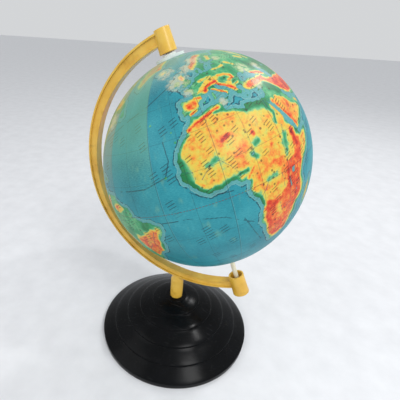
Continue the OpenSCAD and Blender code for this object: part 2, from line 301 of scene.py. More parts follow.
AFRICA = [
    (-5.9, 35.8), (-2.0, 35.1), (3.0, 36.9), (10.2, 37.3), (11.0, 36.9), (10.2, 34.3), (11.2, 33.2),
    (15.2, 32.3), (19.9, 30.4), (20.2, 32.4), (23.2, 32.2), (25.5, 31.6), (29.2, 30.9), (31.5, 31.5),
    (33.6, 31.1), (33.4, 30.2), (32.4, 29.7), (33.6, 27.8), (35.5, 24.0), (37.2, 21.0), (37.4, 18.6),
    (39.5, 15.6), (42.8, 12.6), (43.2, 11.5), (44.5, 10.4), (47.5, 11.1), (51.2, 11.9), (50.8, 9.5),
    (47.9, 4.5), (46.0, 2.4), (42.0, -0.9), (40.2, -2.6), (39.2, -4.7), (38.8, -6.5), (39.5, -8.5),
    (40.6, -10.6), (40.8, -14.7), (39.0, -16.8), (36.2, -18.8), (34.8, -20.0), (35.5, -23.8),
    (32.9, -25.6), (32.8, -27.6), (30.5, -31.0), (27.5, -33.3), (25.0, -34.1), (20.0, -34.8),
    (18.4, -34.1), (18.2, -31.8), (16.4, -28.6), (14.9, -25.2), (14.5, -22.6), (12.0, -18.0),
    (12.5, -14.5), (13.8, -10.8), (12.3, -6.0), (9.5, -2.3), (8.8, -0.6), (9.8, 3.0), (8.6, 4.6),
    (6.0, 4.3), (4.5, 6.2), (1.2, 6.1), (-2.0, 4.8), (-4.5, 5.2), (-7.6, 4.4), (-9.2, 5.5),
    (-11.4, 6.8), (-13.2, 8.8), (-15.0, 11.0), (-16.8, 12.4), (-17.4, 14.7), (-16.4, 17.0),
    (-17.0, 21.0), (-15.8, 23.8), (-13.5, 27.2), (-9.8, 29.8), (-9.6, 31.5), (-6.9, 33.8)]

NORTH_AMERICA = [
    (-168.0, 65.6), (-163.0, 66.5), (-166.5, 68.3), (-156.5, 71.3), (-141.0, 69.7), (-135.0, 69.3),
    (-128.0, 70.4), (-121.0, 69.8), (-114.5, 68.2), (-108.5, 67.8), (-101.0, 67.8), (-96.5, 68.2),
    (-94.5, 71.8), (-92.0, 69.6), (-88.0, 68.4), (-81.5, 69.3), (-81.3, 67.4), (-86.5, 66.4),
    (-87.5, 64.4), (-93.5, 61.5), (-94.5, 58.8), (-92.5, 57.0), (-85.0, 55.3), (-82.3, 53.0),
    (-80.0, 51.3), (-78.9, 53.5), (-76.7, 57.2), (-78.3, 60.5), (-77.5, 62.5), (-72.5, 61.7),
    (-69.5, 59.0), (-67.5, 58.3), (-64.8, 60.4), (-61.8, 57.0), (-57.0, 54.0), (-55.8, 52.3),
    (-60.0, 50.2), (-66.5, 50.2), (-69.5, 48.2), (-65.0, 49.2), (-64.8, 47.2), (-61.2, 45.4),
    (-64.0, 44.5), (-66.0, 43.6), (-66.8, 44.8), (-70.2, 43.6), (-70.0, 41.8), (-74.0, 40.6),
    (-75.5, 38.0), (-76.0, 36.8), (-75.6, 35.2), (-78.0, 33.8), (-81.2, 31.5), (-80.2, 27.0),
    (-80.5, 25.2), (-81.8, 26.2), (-82.8, 28.5), (-84.2, 30.0), (-88.0, 30.3), (-90.0, 29.1),
    (-93.8, 29.7), (-97.2, 27.8), (-97.8, 22.6), (-96.0, 19.2), (-94.3, 18.2), (-91.5, 18.6),
    (-90.4, 21.0), (-87.0, 21.5), (-87.8, 18.2), (-88.8, 15.9), (-83.4, 15.1), (-83.7, 11.2),
    (-81.8, 9.0), (-79.5, 9.5), (-77.4, 8.6), (-76.2, 6.5), (-77.8, 7.0), (-80.4, 7.5), (-83.0, 8.3),
    (-85.8, 10.3), (-87.6, 12.9), (-92.0, 14.4), (-95.0, 16.0), (-99.5, 16.6), (-104.8, 19.2),
    (-105.6, 21.6), (-108.5, 25.4), (-112.5, 29.8), (-114.7, 31.6), (-112.8, 28.4), (-109.5, 23.1),
    (-112.2, 25.2), (-114.8, 28.0), (-117.1, 32.6), (-120.5, 34.5), (-122.5, 37.5), (-124.3, 40.4),
    (-124.0, 46.2), (-124.6, 48.3), (-122.6, 48.2), (-127.5, 51.2), (-130.2, 54.6), (-134.0, 58.0),
    (-139.5, 59.7), (-146.0, 60.7), (-151.5, 59.4), (-151.0, 61.0), (-154.5, 58.3), (-163.0, 54.9),
    (-158.5, 57.8), (-162.0, 59.2), (-166.0, 61.6), (-161.2, 64.3)]

SOUTH_AMERICA = [
    (-77.4, 8.8), (-75.5, 10.6), (-72.0, 12.2), (-71.3, 10.6), (-68.0, 10.9), (-62.0, 10.7),
    (-60.8, 8.6), (-57.0, 6.0), (-52.0, 4.8), (-50.0, 1.7), (-50.5, 0.0), (-48.0, -0.8), (-44.3, -2.6),
    (-40.0, -2.9), (-37.0, -4.8), (-35.2, -5.5), (-34.8, -8.0), (-37.2, -11.5), (-39.0, -13.5),
    (-39.2, -17.8), (-41.0, -22.0), (-44.6, -23.2), (-48.5, -26.0), (-48.8, -28.6), (-52.2, -32.5),
    (-54.9, -34.9), (-58.4, -34.0), (-57.2, -36.4), (-58.5, -38.4), (-62.2, -39.0), (-65.0, -41.0),
    (-63.8, -42.6), (-67.3, -45.8), (-65.8, -47.8), (-69.0, -50.8), (-68.4, -52.4), (-65.2, -54.7),
    (-69.0, -55.4), (-74.0, -52.0), (-75.5, -47.5), (-73.2, -41.8), (-73.6, -37.2), (-71.5, -33.0),
    (-70.3, -25.5), (-70.3, -18.4), (-76.2, -13.9), (-79.5, -7.5), (-81.3, -4.7), (-80.0, -2.8),
    (-80.1, 0.8), (-77.3, 3.9), (-77.5, 6.8), (-78.6, 8.2)]

GREENLAND = [
    (-44.0, 59.8), (-48.5, 61.2), (-51.8, 64.2), (-53.7, 67.2), (-51.0, 69.8), (-54.8, 71.8),
    (-60.0, 75.8), (-69.0, 76.3), (-72.0, 78.3), (-66.0, 80.3), (-55.0, 82.4), (-38.0, 83.4),
    (-22.0, 82.3), (-12.5, 81.4), (-18.5, 79.0), (-19.5, 75.2), (-22.0, 72.6), (-23.0, 70.2),
    (-32.5, 68.1), (-38.0, 65.8), (-41.0, 63.5), (-42.8, 61.0)]

AUSTRALIA = [
    (113.7, -22.6), (114.2, -26.3), (115.7, -31.8), (115.0, -34.3), (118.0, -35.0), (123.5, -33.9),
    (126.2, -32.3), (131.1, -31.5), (135.5, -34.8), (137.8, -33.0), (138.5, -35.6), (140.5, -38.0),
    (144.8, -38.2), (146.4, -39.1), (149.9, -37.4), (153.0, -31.5), (153.5, -28.0), (150.8, -23.3),
    (146.3, -19.0), (145.3, -15.0), (142.5, -10.8), (141.6, -14.0), (140.8, -17.5), (139.0, -17.4),
    (135.5, -14.9), (136.8, -12.2), (132.6, -11.3), (130.0, -13.0), (129.0, -14.9), (126.0, -14.0),
    (122.3, -18.0), (119.0, -20.0)]

ANTARCTICA_EAST = [
    (-10, -71), (0, -69.8), (15, -69.8), (33, -68.8), (45, -67.6), (55, -66.0), (70, -68.5),
    (75, -69.8), (82, -67.5), (95, -66.5), (110, -66.0), (125, -66.5), (140, -66.6), (150, -68.5),
    (165, -70.5), (170, -72), (164, -77.5), (178, -78.2), (190, -78.4), (190, -95), (-10, -95)]

ANTARCTICA_WEST = [
    (10, -69.9), (-10, -71), (-20, -73.5), (-30, -77), (-45, -78.2), (-60, -75.5), (-61, -70),
    (-57, -63.3), (-63, -65), (-68, -69), (-75, -73), (-90, -72.8), (-102, -74.8), (-115, -74.2),
    (-130, -74.6), (-150, -77), (-165, -78.3), (-190, -78.2), (-190, -95), (10, -95)]

BIG_ISLANDS = [
    [(-24.3, 65.6), (-21.8, 64.2), (-18.8, 63.4), (-13.7, 64.9), (-15.0, 66.3), (-22.5, 66.4)],
    [(-5.6, 50.1), (-3.5, 50.3), (1.4, 51.2), (1.7, 52.7), (-0.2, 54.0), (-1.6, 55.5), (-2.0, 57.5),
     (-3.2, 58.6), (-5.1, 58.5), (-6.2, 56.6), (-4.9, 55.0), (-3.2, 53.4), (-5.2, 51.8), (-3.2, 51.4)],
    [(-10.2, 52.0), (-6.4, 52.2), (-6.1, 53.8), (-5.7, 54.7), (-7.4, 55.3), (-10.0, 54.2)],
    [(12.5, 37.9), (15.1, 36.7), (15.6, 38.2)],
    [(8.3, 39.0), (9.7, 39.3), (9.5, 42.9), (8.6, 42.3)],
    [(23.6, 35.5), (26.2, 35.3), (25.0, 34.9)],
    [(32.3, 34.8), (33.9, 34.9), (34.4, 35.6), (33.0, 35.3)],
    [(49.3, -12.0), (50.4, -15.6), (47.2, -25.0), (45.2, -25.5), (43.4, -22.0), (44.3, -16.5)],
    [(80.0, 9.7), (81.8, 7.2), (80.6, 6.0), (79.8, 7.8)],
    [(131.0, 34.2), (133.0, 35.4), (136.0, 35.8), (137.3, 37.3), (140.0, 39.8), (141.3, 41.4),
     (142.0, 39.5), (140.9, 36.0), (139.0, 34.7), (135.8, 33.5), (132.5, 34.1)],
    [(129.8, 33.0), (131.8, 33.7), (131.4, 31.4), (130.2, 31.3)],
    [(140.0, 41.5), (141.8, 45.4), (145.4, 43.5), (143.2, 42.0)],
    [(142.0, 46.0), (143.4, 49.2), (143.2, 53.5), (142.3, 54.2), (141.9, 50.0)],
    [(120.2, 23.0), (121.5, 25.2), (120.8, 22.0)],
    [(108.7, 19.2), (111.0, 19.8), (109.8, 18.3)],
    [(120.0, 16.2), (120.7, 18.5), (122.2, 18.3), (121.8, 15.0), (124.0, 12.7), (121.0, 13.7)],
    [(122.0, 11.5), (125.5, 12.3), (124.5, 10.2), (122.5, 9.8)],
    [(122.0, 7.2), (124.0, 8.5), (125.8, 9.6), (126.4, 7.0), (125.0, 5.9)],
    [(109.0, 1.8), (111.5, 2.8), (114.5, 4.8), (117.0, 7.0), (119.0, 5.2), (117.6, 2.5),
     (118.8, 1.0), (116.2, -3.8), (113.0, -3.2), (110.2, -2.8)],
    [(95.3, 5.6), (98.5, 4.0), (103.5, 0.2), (106.0, -3.0), (105.5, -5.8), (102.0, -3.8), (98.8, 1.6)],
    [(105.3, -6.7), (108.5, -6.6), (114.4, -7.6), (114.4, -8.7), (108.0, -7.8)],
    [(116.0, -8.4), (123.0, -8.4), (120.0, -9.6)],
    [(123.6, -10.3), (127.2, -8.4), (125.0, -8.8)],
    [(119.4, -3.5), (119.8, 0.6), (124.8, 1.4), (121.0, -0.4), (123.0, -0.9), (121.6, -2.2),
     (122.8, -4.4), (121.0, -3.2), (120.3, -5.5)],
    [(127.5, 1.6), (128.6, 1.2), (128.0, -0.8)],
    [(128.0, -3.0), (130.6, -3.4), (129.0, -3.8)],
    [(131.0, -0.8), (134.2, -0.9), (135.0, -3.2), (138.0, -1.7), (141.0, -2.6), (145.0, -4.5),
     (147.8, -6.0), (150.6, -10.3), (147.0, -9.4), (144.0, -7.6), (142.5, -9.2), (138.2, -8.3),
     (138.0, -5.6), (133.0, -4.0), (132.0, -2.6)],
    [(148.5, -5.6), (152.2, -4.2), (151.0, -6.2)],
    [(144.7, -40.8), (148.3, -40.9), (147.8, -43.2), (146.0, -43.5)],
    [(172.8, -34.5), (175.5, -36.8), (178.4, -37.7), (176.9, -40.0), (175.2, -41.6), (174.0, -39.2),
     (174.8, -37.2)],
    [(172.7, -40.6), (174.3, -41.8), (171.2, -44.2), (169.0, -46.6), (166.5, -45.9), (171.0, -42.6)],
    [(-84.9, 21.9), (-82.5, 23.1), (-77.0, 21.6), (-74.2, 20.2), (-77.6, 19.9), (-78.5, 21.2)],
    [(-74.4, 18.4), (-73.0, 19.9), (-68.4, 18.6), (-71.5, 17.8)],
    [(-59.3, 47.7), (-56.0, 51.5), (-53.0, 47.8), (-55.8, 46.9)],
    [(-128.2, 50.6), (-123.5, 48.4), (-125.6, 49.0)],
    [(-65.0, 61.8), (-72.5, 64.3), (-77.5, 64.5), (-73.5, 66.5), (-72.5, 68.0), (-78.0, 70.0),
     (-89.0, 70.5), (-88.5, 73.5), (-80.5, 73.6), (-75.0, 72.0), (-68.5, 70.3), (-62.0, 67.0),
     (-63.5, 64.8)],
    [(-117.0, 69.7), (-105.0, 68.9), (-101.5, 70.0), (-105.0, 73.0), (-114.0, 73.2), (-118.5, 71.5)],
    [(-125.0, 71.8), (-119.8, 72.4), (-117.5, 73.6), (-124.0, 74.3)],
    [(-100.0, 72.0), (-96.5, 72.8), (-98.0, 74.0), (-102.0, 73.0)],
    [(-95.0, 74.8), (-80.0, 74.7), (-80.5, 76.0), (-96.0, 76.6)],
    [(-108.0, 75.0), (-113.0, 76.0), (-117.0, 76.4), (-106.0, 76.4)],
    [(-78.0, 76.6), (-90.0, 76.6), (-88.0, 79.0), (-92.0, 81.0), (-78.0, 83.0), (-62.0, 82.5),
     (-70.0, 80.0), (-77.0, 78.5)],
    [(11.0, 79.5), (16.5, 76.7), (24.0, 78.2), (27.0, 80.1), (17.0, 80.0)],
    [(52.0, 71.5), (57.0, 70.6), (56.0, 73.0), (68.5, 76.8), (60.0, 76.2), (54.0, 73.5)],
    [(95.5, 79.0), (104.5, 78.8), (98.0, 81.2)],
    [(138.0, 75.0), (142.0, 73.6), (150.0, 75.0), (141.0, 76.0)],
    [(-61.0, -51.9), (-57.9, -51.6), (-59.5, -52.2)]]

# Longitude, latitude and radius
SMALL_ISLANDS = [
    (-28.0, 38.5, 0.5), (-17.0, 32.7, 0.4), (-16.0, 28.3, 0.6), (-13.9, 28.6, 0.4), (-24.0, 15.8, 0.6),
    (-5.7, -16.0, 0.3), (-14.4, -8.0, 0.3), (8.7, 3.6, 0.35), (6.7, 0.3, 0.3), (-155.6, 19.7, 0.7),
    (178.0, -17.8, 0.7), (165.4, -21.3, 0.8), (160.0, -9.5, 0.8), (167.0, -15.5, 0.5),
    (55.5, -21.1, 0.4), (57.6, -20.3, 0.35), (69.5, -49.2, 0.8), (-36.8, -54.4, 0.6), (3.0, 39.6, 0.45),
    (53.8, 12.5, 0.5), (39.4, -6.1, 0.3), (-91.0, -0.6, 0.6), (-78.0, 24.5, 0.5), (-77.3, 18.1, 0.5),
    (-66.4, 18.2, 0.45), (-61.3, 15.4, 0.3), (-61.0, 13.9, 0.3), (-61.4, 10.4, 0.4), (73.2, 4.2, 0.3),
    (92.8, 12.3, 0.5), (-7.0, 62.1, 0.35), (-1.2, 60.3, 0.4), (18.6, 57.5, 0.5), (14.5, 35.9, 0.25),
    (25.0, 37.3, 0.4), (28.0, 36.3, 0.35), (-8.6, 71.0, 0.3), (-153.0, 57.4, 0.7), (144.8, 13.5, 0.4),
    (-149.4, -17.7, 0.4), (-109.4, -27.1, 0.3), (-176.0, -44.0, 0.35), (166.0, 55.0, 0.4)]

# Water cut out of the land
SEAS_AND_LAKES = [
    [(28.0, 42.0), (28.8, 44.5), (30.8, 46.4), (33.2, 46.1), (33.0, 44.6), (35.3, 45.2), (37.5, 46.9),
     (38.5, 46.8), (37.0, 45.0), (39.5, 43.4), (41.6, 41.9), (38.0, 41.0), (35.0, 42.0), (31.5, 41.3),
     (29.1, 41.3)],
    [(47.5, 45.5), (49.5, 46.5), (53.0, 46.6), (51.2, 44.5), (53.0, 42.0), (54.0, 37.0), (50.0, 37.5),
     (49.4, 40.2), (47.6, 42.8)],
    [(58.5, 44.2), (61.0, 46.5), (60.5, 43.8)],
    [(104.0, 51.6), (109.5, 55.5), (107.5, 52.6)],
    [(31.0, 60.2), (32.8, 60.6), (31.5, 61.5)],
    [(-92.0, 46.8), (-88.0, 48.8), (-84.6, 46.7), (-88.0, 47.1)],
    [(-87.8, 42.0), (-86.2, 42.0), (-85.4, 45.4), (-87.5, 45.0)],
    [(-84.0, 45.9), (-81.6, 43.4), (-80.0, 44.6), (-81.5, 46.0)],
    [(-83.2, 41.8), (-79.0, 42.8), (-81.0, 41.7)],
    [(-79.6, 43.4), (-76.3, 44.1), (-77.5, 43.3)],
    [(-98.5, 53.6), (-96.5, 50.6), (-97.2, 53.4)],
    [(-123.5, 65.2), (-118.0, 66.6), (-120.5, 65.2)],
    [(-116.5, 61.2), (-109.5, 62.6), (-113.0, 61.2)],
    [(31.7, -0.2), (34.2, 0.0), (33.4, -2.6), (32.0, -2.4)],
    [(29.2, -3.6), (29.9, -3.8), (31.1, -8.4), (30.3, -8.2)],
    [(33.9, -9.8), (34.7, -10.4), (35.2, -14.2), (34.5, -13.4)],
    [(13.4, 13.6), (14.8, 13.7), (14.6, 12.5), (13.6, 12.6)]]

# Broad high ground: height from 0 to 1, how far inside its outline it takes to rise, the outline
UPLANDS = [
    (0.50, 1.9, AFRICA), (0.64, 2.5, GREENLAND),
    (0.71, 2.4, [(13, -5.5), (20, -8), (27, -5), (28.5, 4), (34, 6), (35.5, 15), (41, 15), (44, 9),
                 (42, 0), (39, -6), (40, -14), (35, -20), (32, -28), (27, -33.8), (18.5, -34),
                 (15, -27), (12.5, -17), (13.5, -10)]),
    (0.56, 1.6, [(35.5, 28), (40, 31), (46, 28), (50, 24), (56, 22), (58, 19), (52, 16.5), (45, 13.2),
                 (42.6, 16), (38.5, 22)]),
    (0.80, 2.0, [(43, 41), (50, 37.5), (58, 38.5), (64, 38), (70, 38), (75, 36), (69, 30), (64, 26),
                 (57, 26.5), (51, 29), (45, 34.5)]),
    (0.44, 1.4, [(-1, 43.6), (3, 47.5), (9, 50.5), (15, 51), (23, 49.8), (27, 46), (22, 41), (15, 46.5),
                 (7, 43.8)]),
    (0.60, 3.0, [(11, 5), (20, 9.5), (30, 9), (35, 4), (31, -7), (13.5, -6), (10.5, 0)]),
    (0.70, 1.2, [(27.5, 39.8), (32, 41.5), (40, 41), (45, 41.5), (45, 37), (37, 37), (30, 36.8)]),
    (0.62, 1.0, [(-8, 42.5), (-2, 42.8), (0.5, 41), (-1, 38), (-6.5, 38)]),
    (0.50, 1.5, [(72.5, 23), (80, 25), (86, 22.5), (79.5, 14), (77, 9), (74, 15)]),
    (0.86, 3.0, [(66, 38), (80, 45), (90, 51), (101, 52), (106, 46), (98, 41), (80, 39), (74, 37)]),
    (0.98, 2.0, [(73, 37), (82, 38), (92, 38), (103, 37), (104, 30), (96, 27), (86, 28), (78, 31)]),
    (0.52, 3.0, [(105, 50), (120, 58), (135, 58), (150, 62), (165, 66), (150, 69), (130, 68),
                 (122, 62), (108, 58)]),
    (0.42, 3.0, [(88, 56), (88, 70), (112, 72), (118, 62), (105, 55)]),
    (0.58, 3.0, [(86, 47), (108, 51), (120, 48), (112, 38), (103, 33), (96, 39)]),
    (0.56, 2.0, [(99, 33), (110, 33), (118, 29), (115, 24), (106, 22), (98, 22)]),
    (0.76, 3.0, [(-142, 65), (-125, 60), (-110, 50), (-102, 44), (-101, 32), (-111, 30), (-119, 35),
                 (-123, 46), (-130, 54), (-142, 60)]),
    (0.44, 4.0, [(-122, 60), (-98, 51), (-95, 36), (-101, 30), (-106, 42), (-114, 52)]),
    (0.70, 2.0, [(-111, 31), (-102, 31), (-97, 23), (-94, 16.5), (-103, 19), (-108, 26)]),
    (0.44, 3.0, [(-77, 49), (-58, 53), (-65, 59), (-78, 61)]),
    (0.64, 2.6, [(-53, -31), (-41, -23), (-39, -14), (-36.5, -8), (-42, -5), (-48, -9), (-60, -13),
                 (-58, -20)]),
    (0.52, 2.0, [(-69, 3), (-60, 8), (-53, 4), (-62, 0)]),
    (0.50, 3.0, [(116, -22), (129, -15), (139, -20), (137, -28), (124, -32), (117, -31)])]

# What stands up from the plains: height from 0 to 1, half width, and the line it follows
HIGHLANDS = [
    (0.82, 1.3, [(6.5, 44.5), (7.5, 46), (11, 46.8), (14.5, 47)]), (0.7, 0.8, [(-1, 43), (2.5, 42.4)]),
    (0.74, 2.4, [(-5, 40.5), (-2, 40.8)]), (0.8, 0.8, [(-5.2, 37), (-2.5, 37.8)]),
    (0.86, 2.0, [(7, 60.5), (9, 62), (14, 65), (18, 68), (24, 69)]),
    (0.66, 1.0, [(-4, 57), (-3.5, 55)]),
    (0.5, 1.2, [(6, 50.3), (10, 50.8), (14, 50.6)]), (0.5, 1.0, [(19, 54), (24, 53.5), (28, 54)]),
    (0.48, 1.2, [(33, 55), (36, 52)]), (0.5, 1.4, [(53, 54), (50, 56)]),
    (0.55, 1.2, [(27, 62), (30, 65)]),
    (0.78, 0.7, [(10, 44), (13.5, 42.3), (16, 40)]),
    (0.8, 1.2, [(14.5, 45.3), (17, 44), (20, 42.3), (22, 40)]),
    (0.78, 1.0, [(18.5, 49.2), (23, 48.6), (25.5, 47), (25.5, 45.6), (22.5, 45.2)]),
    (0.52, 0.9, [(23, 42), (26, 42.5)]), (0.62, 2.2, [(29, 38.6), (34, 38.7), (40, 39.2)]),
    (0.92, 1.0, [(40, 43.5), (44, 42.7), (48, 41.3)]),
    (0.84, 1.8, [(43.5, 38), (47, 34.5), (51, 31.5), (56, 28.5)]),
    (0.62, 3.6, [(54, 34), (60, 32)]), (0.84, 1.0, [(49, 37), (53, 36.2), (58, 37)]),
    (0.9, 2.5, [(63, 34.5), (68, 35), (72, 37)]),
    (1.0, 2.0, [(73, 35), (78, 32), (84, 28.8), (90, 28), (96, 28.5)]),
    (0.95, 4.6, [(80, 34), (88, 33.5), (96, 33.5)]),
    (0.86, 1.8, [(70, 40), (76, 42), (84, 43), (92, 43.5)]),
    (0.8, 2.2, [(86, 49), (92, 48.5), (98, 49)]), (0.55, 5.0, [(97, 45), (108, 46.5)]),
    (0.7, 1.8, [(92, 53), (98, 51.5), (104, 51)]), (0.6, 2.5, [(108, 54), (118, 56), (128, 56)]),
    (0.6, 2.0, [(128, 70), (130, 65), (138, 62)]), (0.62, 2.5, [(140, 68), (147, 64), (155, 62)]),
    (0.7, 1.0, [(157, 53), (161, 57), (164, 60)]), (0.52, 2.0, [(165, 67), (178, 67)]),
    (0.55, 1.2, [(59, 52), (59, 58), (60, 63), (66, 68)]), (0.42, 6.0, [(95, 66), (106, 65)]),
    (0.46, 4.0, [(76, 15), (77, 20), (84, 20)]), (0.62, 0.8, [(74, 18), (76.5, 11)]),
    (0.78, 3.0, [(99, 30), (101, 26), (105, 27)]), (0.44, 3.0, [(110, 26), (116, 27)]),
    (0.52, 1.0, [(103, 19), (107.5, 15)]), (0.62, 1.0, [(94, 26), (93.6, 21)]),
    (0.52, 1.2, [(98.6, 19), (99, 14)]),
    (0.6, 0.8, [(132, 34.5), (138, 36), (141, 40)]), (0.46, 0.8, [(128, 36), (127.5, 41)]),
    (0.5, 1.8, [(120, 50), (121, 46)]), (0.76, 1.5, [(36.5, 28), (40, 22), (43, 17.5), (44.5, 14.5)]),
    (0.6, 1.0, [(57, 23.3), (59, 22)]),
    (0.86, 1.1, [(-8.5, 31), (-5, 32.5), (0, 33.8), (5, 35), (8, 35.5)]),
    (0.92, 1.6, [(4, 22.8), (7, 24)]), (0.92, 1.5, [(17.5, 21), (18, 19.8)]),
    (0.66, 1.0, [(8.5, 18.5), (8.8, 17.5)]),
    (0.72, 1.5, [(23.5, 13), (24.5, 13.5)]), (0.5, 1.6, [(22.5, 17)]),
    (0.62, 1.0, [(33.5, 27), (36.5, 20)]),
    (1.0, 2.5, [(38, 13.5), (38.5, 10), (39, 7.5)]), (0.62, 2.2, [(43, 8), (47, 9)]),
    (0.82, 2.6, [(36, 1), (36, -3), (34.5, -8)]), (0.86, 1.3, [(29.5, 1.5), (29, -4), (30, -9)]),
    (0.7, 4.0, [(25, -11), (31, -13)]), (0.76, 2.6, [(15.5, -12.5), (18, -13)]),
    (0.74, 2.0, [(16.5, -18), (17, -24), (18.5, -29.5)]), (0.58, 4.4, [(21, -19), (22, -25)]),
    (0.94, 1.5, [(29, -28.5), (28, -31.2)]), (0.74, 3.6, [(25.5, -27.5), (23, -31.5)]),
    (0.7, 2.8, [(30, -19)]), (0.76, 1.1, [(9.7, 5), (11.5, 7), (13, 8)]), (0.66, 1.1, [(9, 9.8)]),
    (0.74, 1.3, [(-11.8, 10.6), (-9, 8.4)]), (0.5, 2.2, [(-4, 10), (4, 9.5)]),
    (0.52, 2.6, [(14.5, 0), (16, -5)]),
    (0.5, 3.4, [(21, 6.5), (27, 5)]), (0.48, 4.0, [(20, -3), (24, -6)]),
    (0.66, 1.3, [(47.2, -14.5), (46.5, -22)]),
    (0.82, 1.6, [(-153, 61.5), (-147, 63.3), (-140, 61)]), (0.62, 1.3, [(-160, 68.3), (-142, 69)]),
    (0.86, 2.6, [(-135, 62), (-128, 58), (-121, 54), (-115, 50)]),
    (0.8, 1.2, [(-134, 58), (-128, 54), (-123, 50)]),
    (0.92, 3.4, [(-114, 47), (-110, 43), (-106.5, 39), (-105.5, 35)]),
    (0.72, 4.0, [(-116, 41), (-112, 36)]),
    (0.82, 1.0, [(-121.5, 47), (-121.5, 41), (-118.5, 36.5)]),
    (0.8, 2.8, [(-107, 29), (-102.5, 23.5), (-98.5, 19.5)]),
    (0.66, 0.8, [(-92, 15.4), (-87, 14), (-84, 10), (-81.5, 8.5)]),
    (0.5, 4.0, [(-104, 49), (-102, 40), (-101, 34)]),
    (0.56, 1.2, [(-84, 35), (-80, 38), (-75, 42), (-71, 44.5)]), (0.5, 3.0, [(-66, 55), (-72, 54)]),
    (0.58, 1.2, [(-66, 66), (-75, 71)]), (0.62, 5.0, [(-43, 66), (-42, 72), (-42, 79)]),
    (0.85, 1.5, [(-36, 69.5), (-27, 71.5)]), (0.6, 1.4, [(-80, 81), (-86, 79)]),
    (0.62, 1.2, [(-19, 64.9)]),
    (1.0, 1.5, [(-72, 8.5), (-75, 5), (-78, 0), (-78, -6), (-76, -11), (-71, -15), (-68, -19)]),
    (1.0, 1.4, [(-68, -19), (-68.5, -25), (-70, -33), (-71.5, -40), (-73, -48)]),
    (0.92, 2.2, [(-69, -16), (-67, -21)]),
    (0.62, 1.8, [(-66, 4), (-61, 5)]), (0.6, 4.4, [(-47, -16.5), (-45, -12), (-44, -19)]),
    (0.72, 1.4, [(-49, -24.5), (-44.5, -21.5), (-41.5, -16), (-41, -12)]),
    (0.56, 2.2, [(-40, -9), (-38, -7.5)]),
    (0.5, 4.0, [(-55, -14), (-52, -18)]), (0.46, 2.0, [(-69, -42), (-70, -48)]),
    (0.46, 7.0, [(120, -25), (128, -24)]),
    (0.56, 1.5, [(145, -17), (149, -25), (151, -30), (148, -36.5)]),
    (0.88, 1.1, [(136, -4), (141, -5), (146.5, -7)]), (0.52, 1.4, [(114.5, 2.5), (116, 4)]),
    (0.62, 0.8, [(97, 4), (101, -1), (104, -5)]), (0.62, 0.5, [(107, -7.2), (113, -8)]),
    (0.78, 0.8, [(168, -45), (172, -42.5)]), (0.55, 0.7, [(175.5, -39)]),
    (0.5, 0.7, [(120.5, -2), (121, 1)]),
    (0.5, 0.8, [(-4.5, 57), (-3.5, 55.5)])]

# What lies low inside the highlands: depth, half width, and the line it follows
LOWLANDS = [
    (0.32, 1.5, [(-8, 5.6), (-3, 6.4), (4, 7.4)]), (0.3, 1.6, [(12.5, -3.5), (14, -8)]),
    (0.34, 1.6, [(18.5, 46.8), (21.5, 47)]), (0.4, 0.8, [(9, 45.1), (11.5, 45.2)]),
    (0.42, 1.0, [(5.5, 34.2), (8.5, 33.9)]), (0.5, 2.4, [(22.5, 30.6), (27, 29.4), (30.5, 29.6)]),
    (0.42, 0.9, [(31, 30.4), (31, 27), (32.6, 24), (31, 20)]), (0.32, 2.2, [(32.5, 14), (31, 8)]),
    (0.46, 1.4, [(16.5, 16.2), (18.5, 17)]), (0.36, 1.7, [(-5.5, 15.5), (-1, 16.8)]),
    (0.5, 2.8, [(-12.6, 8.6), (-14.6, 12), (-15.2, 16), (-15.4, 19.5)]),
    (0.62, 1.5, [(42.5, 34.5), (46.8, 31.2)]),
    (0.42, 2.6, [(48, 47.5), (54, 46)]), (0.34, 5.0, [(60, 42), (64, 44)]),
    (0.55, 2.0, [(79, 39.2), (88, 39.8)]), (0.42, 1.5, [(75, 29), (82, 26.5), (88, 25)]),
    (0.4, 1.2, [(68, 25.5), (71, 30)]), (0.34, 2.4, [(18.5, 0.5), (22.5, 1)]),
    (0.5, 1.0, [(6.5, 7.8), (10, 8.1)]), (0.4, 1.4, [(14, 13), (15.5, 11.5)]),
    (0.3, 1.6, [(22, -15), (24, -19)]), (0.4, 1.0, [(41, 11.5), (41.5, 13)]),
    (0.3, 2.0, [(-45, -6), (-43, -4)]), (0.34, 1.2, [(-41, -20), (-40, -17.5)]),
    (0.3, 1.2, [(33.5, -24), (35, -18)]), (0.34, 1.2, [(-120.7, 39), (-119.5, 36)])]

